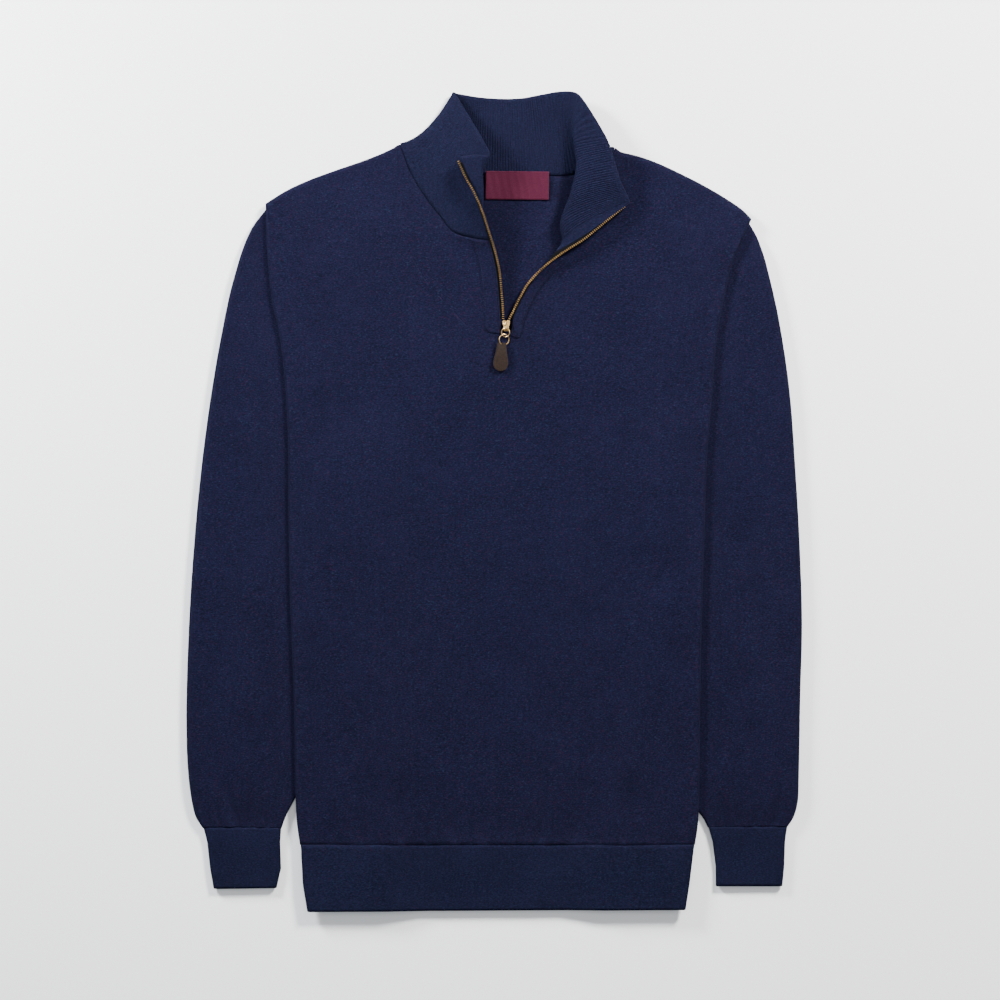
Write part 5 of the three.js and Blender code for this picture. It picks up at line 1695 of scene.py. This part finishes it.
@dataclass
class Studio:
    """The pale floor, the soft light and the camera straight above."""

    middle: tuple = (0.0053, 0.0014)
    cloth_height: float = 0.008
    view_width: float = 0.92
    distance: float = 3.2
    sensor: float = 36.0
    floor_size: float = 9.0
    floor_drop: float = 0.0004
    lamps: tuple = (
        Lamp("key", (1.15, 1.35, 1.15), 0.5, 145.0, (1.0, 0.98, 0.96)),
        Lamp("shadow_side", (-1.15, 0.95, 0.62), 0.4, 80.0, (0.96, 0.98, 1.0)),
        Lamp("overhead", (0.1, 0.1, 2.6), 2.2, 25.0, (1.0, 1.0, 1.0)),
    )

    def build(self) -> None:
        """Makes the floor, the lamps, the sky and the camera."""
        half = self.floor_size / 2
        corners = np.array([[-half, -half, 0], [half, -half, 0], [half, half, 0], [-half, half, 0]]) / METRE
        floor = make_object("studio_floor", corners, [[0, 1, 2, 3]], self.floor_material())
        floor.location.z = -self.floor_drop
        aim = Vector((*self.middle, self.cloth_height))
        for lamp in self.lamps:
            lamp.build(aim)
        world = bpy.data.worlds.new("studio_sky")
        world.use_nodes = True
        world.node_tree.nodes["Background"].inputs["Color"].default_value = (0.86, 0.93, 1.0, 1)
        world.node_tree.nodes["Background"].inputs["Strength"].default_value = 0.4
        bpy.context.scene.world = world
        camera = bpy.data.cameras.new("photo_camera")
        camera.sensor_width = self.sensor
        camera.lens = self.sensor * self.distance / self.view_width
        stand = bpy.data.objects.new("photo_camera", camera)
        stand.location = (*self.middle, self.cloth_height + self.distance)
        bpy.context.scene.collection.objects.link(stand)
        bpy.context.scene.camera = stand

    @staticmethod
    def floor_material() -> bpy.types.Material:
        """A plain pale paper."""
        material = bpy.data.materials.new("pale_paper")
        material.use_nodes = True
        graph = Graph(material.node_tree)
        shader = material.node_tree.nodes["Principled BSDF"]
        grain = graph.noise(graph.add("ShaderNodeTexCoord").outputs["Object"], 900.0, 2.0)
        colour = graph.colours(grain, (0.86, 0.87, 0.88, 1), (0.9, 0.9, 0.91, 1))
        graph.tree.links.new(colour, shader.inputs["Base Color"])
        shader.inputs["Roughness"].default_value = 0.95
        return material


LEFT_SLEEVE = columns("out_x out_y in_x in_y", [
    [-208.2, 272, -177.8, 29], [-224.7, 249.8, -176.8, 2], [-240.4, 203.8, -176, -22],
    [-252.3, 148.6, -175.5, -44],
    [-261.5, 94, -175.2, -68], [-270, 30, -175, -98], [-277, -45, -174, -134], [-281.5, -120, -172.8, -172],
    [-283.6, -190, -171.5, -212], [-282.7, -240, -171.5, -248], [-279.2, -273, -183, -272.5],
    [-275, -290.5, -192.4, -290.5], [-268.6, -301, -196, -301],
])
RIGHT_SLEEVE = columns("out_x out_y in_x in_y", [
    [233.5, 259, 183.8, 29], [243.6, 240.6, 182.5, 4], [256.5, 195, 182, -20], [265.6, 148.6, 181.6, -42],
    [272.5, 98, 181.2, -66], [277.5, 30, 180.5, -98], [281.7, -45, 179.5, -134], [283.6, -115, 178.5, -172],
    [282, -180, 177.5, -212], [280.8, -245, 176.8, -252], [279.4, -278, 184.2, -280],
    [275.2, -292, 193, -292.5], [269.5, -300.4, 197, -300.4],
])
LEFT_CUFF = columns("out_x out_y in_x in_y", [
    [-268, -300.7, -196.2, -300.7], [-264.6, -314, -197.1, -314], [-262, -338, -196.3, -338],
    [-258.8, -356.3, -200.4, -355.6],
])
RIGHT_CUFF = columns("out_x out_y in_x in_y", [
    [270, -300, 197.3, -300], [268.2, -313, 201, -313], [267.4, -336, 203.9, -336],
    [265.7, -353.9, 204, -353.9],
])
HEM = columns("out_x out_y in_x in_y", [
    [-178.2, -316.3, 184.2, -316.3], [-176.4, -352, 180, -351], [-172.3, -377, 176.3, -375.2],
])
LEFT_GATHERS = columns("foot top_x top_y half depth", [
    [-261, -268, -270, 4, 0.5], [-252, -262, -262, 6, 0.6], [-236, -253, -243, 6, 1.4],
    [-228, -234, -268, 4, 0.5],
    [-222, -226, -238, 6, 0.8], [-209, -212, -258, 5, 0.7], [-201, -203, -274, 4, 0.4],
])
RIGHT_GATHERS = columns("foot top_x top_y half depth", [
    [204, 199, -272, 4, 0.4], [212, 206, -258, 6, 0.7], [219, 216, -276, 4, 0.4], [226, 224, -248, 6, 0.9],
    [241, 243, -262, 6, 0.7], [249, 252, -274, 4, 0.45], [256, 264, -256, 6, 0.8],
])
LEFT_SLEEVE_FOLDS = columns("x0 y0 x1 y1 half height", [
    [-232, 200, -228, 60, 14, 0.5], [-250, 60, -258, -60, 13, -0.5], [-222, -60, -232, -190, 16, 0.6],
    [-262, -140, -262, -230, 12, -0.6], [-207, -110, -206, -220, 9, -0.5], [-240, -215, -246, -262, 9, -0.6],
])
RIGHT_SLEEVE_FOLDS = columns("x0 y0 x1 y1 half height", [
    [240, 150, 236, 40, 14, 0.5], [258, 40, 264, -70, 13, -0.5], [226, -70, 236, -190, 16, 0.6],
    [262, -150, 262, -236, 12, -0.6], [206, -120, 206, -225, 9, -0.5], [236, -215, 242, -262, 9, -0.5],
])
RIB_LAYER = RIB_KNIT + 0.6


def rib_bands(torso: Torso) -> list[RibBand]:
    """The two cuffs and the hem, with the heights of their layers."""

    def low(x: np.ndarray, y: np.ndarray) -> np.ndarray:
        """The cuffs' lower layer."""
        return np.full(np.shape(x), RIB_KNIT / 2)

    def cuff_top(x: np.ndarray, y: np.ndarray) -> np.ndarray:
        """The cuffs' upper layer."""
        return np.full(np.shape(x), RIB_KNIT / 2 + RIB_LAYER + 0.15)

    def hem_low(x: np.ndarray, y: np.ndarray) -> np.ndarray:
        """The hem's lower layer."""
        return RIB_KNIT / 2 + torso.lift(x, y)

    def hem_top(x: np.ndarray, y: np.ndarray) -> np.ndarray:
        """The hem's upper layer."""
        return hem_low(x, y) + RIB_LAYER + 0.9

    cuff = Cut(0.145, 0.056, 0.0075)
    return [
        RibBand("cuff_left", -1, LEFT_CUFF, low, cuff_top, cuff, 11),
        RibBand("cuff_right", 1, RIGHT_CUFF, low, cuff_top, cuff, 12),
        RibBand("hem_rib", -1, HEM, hem_low, hem_top, Cut(0.73, 0.062, 0.044), 13),
    ]


def main() -> None:
    """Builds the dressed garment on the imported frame."""
    logging.basicConfig(level=logging.INFO, format="%(message)s")
    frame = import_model()
    Studio().build()
    kit = Materials()
    torso = Torso()
    collar = Collar()
    torso.raised += [curve(np.linspace(0, 1, 31)) for curve in (collar.left_neck, collar.right_neck)]
    front = Front(torso, collar)
    front.build(kit.knit)
    Back(torso, collar).build(kit.knit)
    Sleeve("sleeve_left", -1, torso, LEFT_SLEEVE, LEFT_GATHERS, LEFT_SLEEVE_FOLDS, 21).build(kit.knit)
    Sleeve(
        "sleeve_right", 1, torso, RIGHT_SLEEVE, RIGHT_GATHERS, RIGHT_SLEEVE_FOLDS, 22, bow=11.0,
    ).build(kit.knit)
    for band in rib_bands(torso):
        band.build(kit.rib)
    collar.build(kit.rib)
    Zip(front, collar).build(kit)
    NeckLabel().build(kit.label, kit.label_thread)
    for name in ("turned_side_left", "turned_side_right"):
        TurnedSide(name).build(frame["nodes"][name], kit.knit)
    Pull().build(frame["nodes"], kit)


if __name__ == "__main__":
    main()
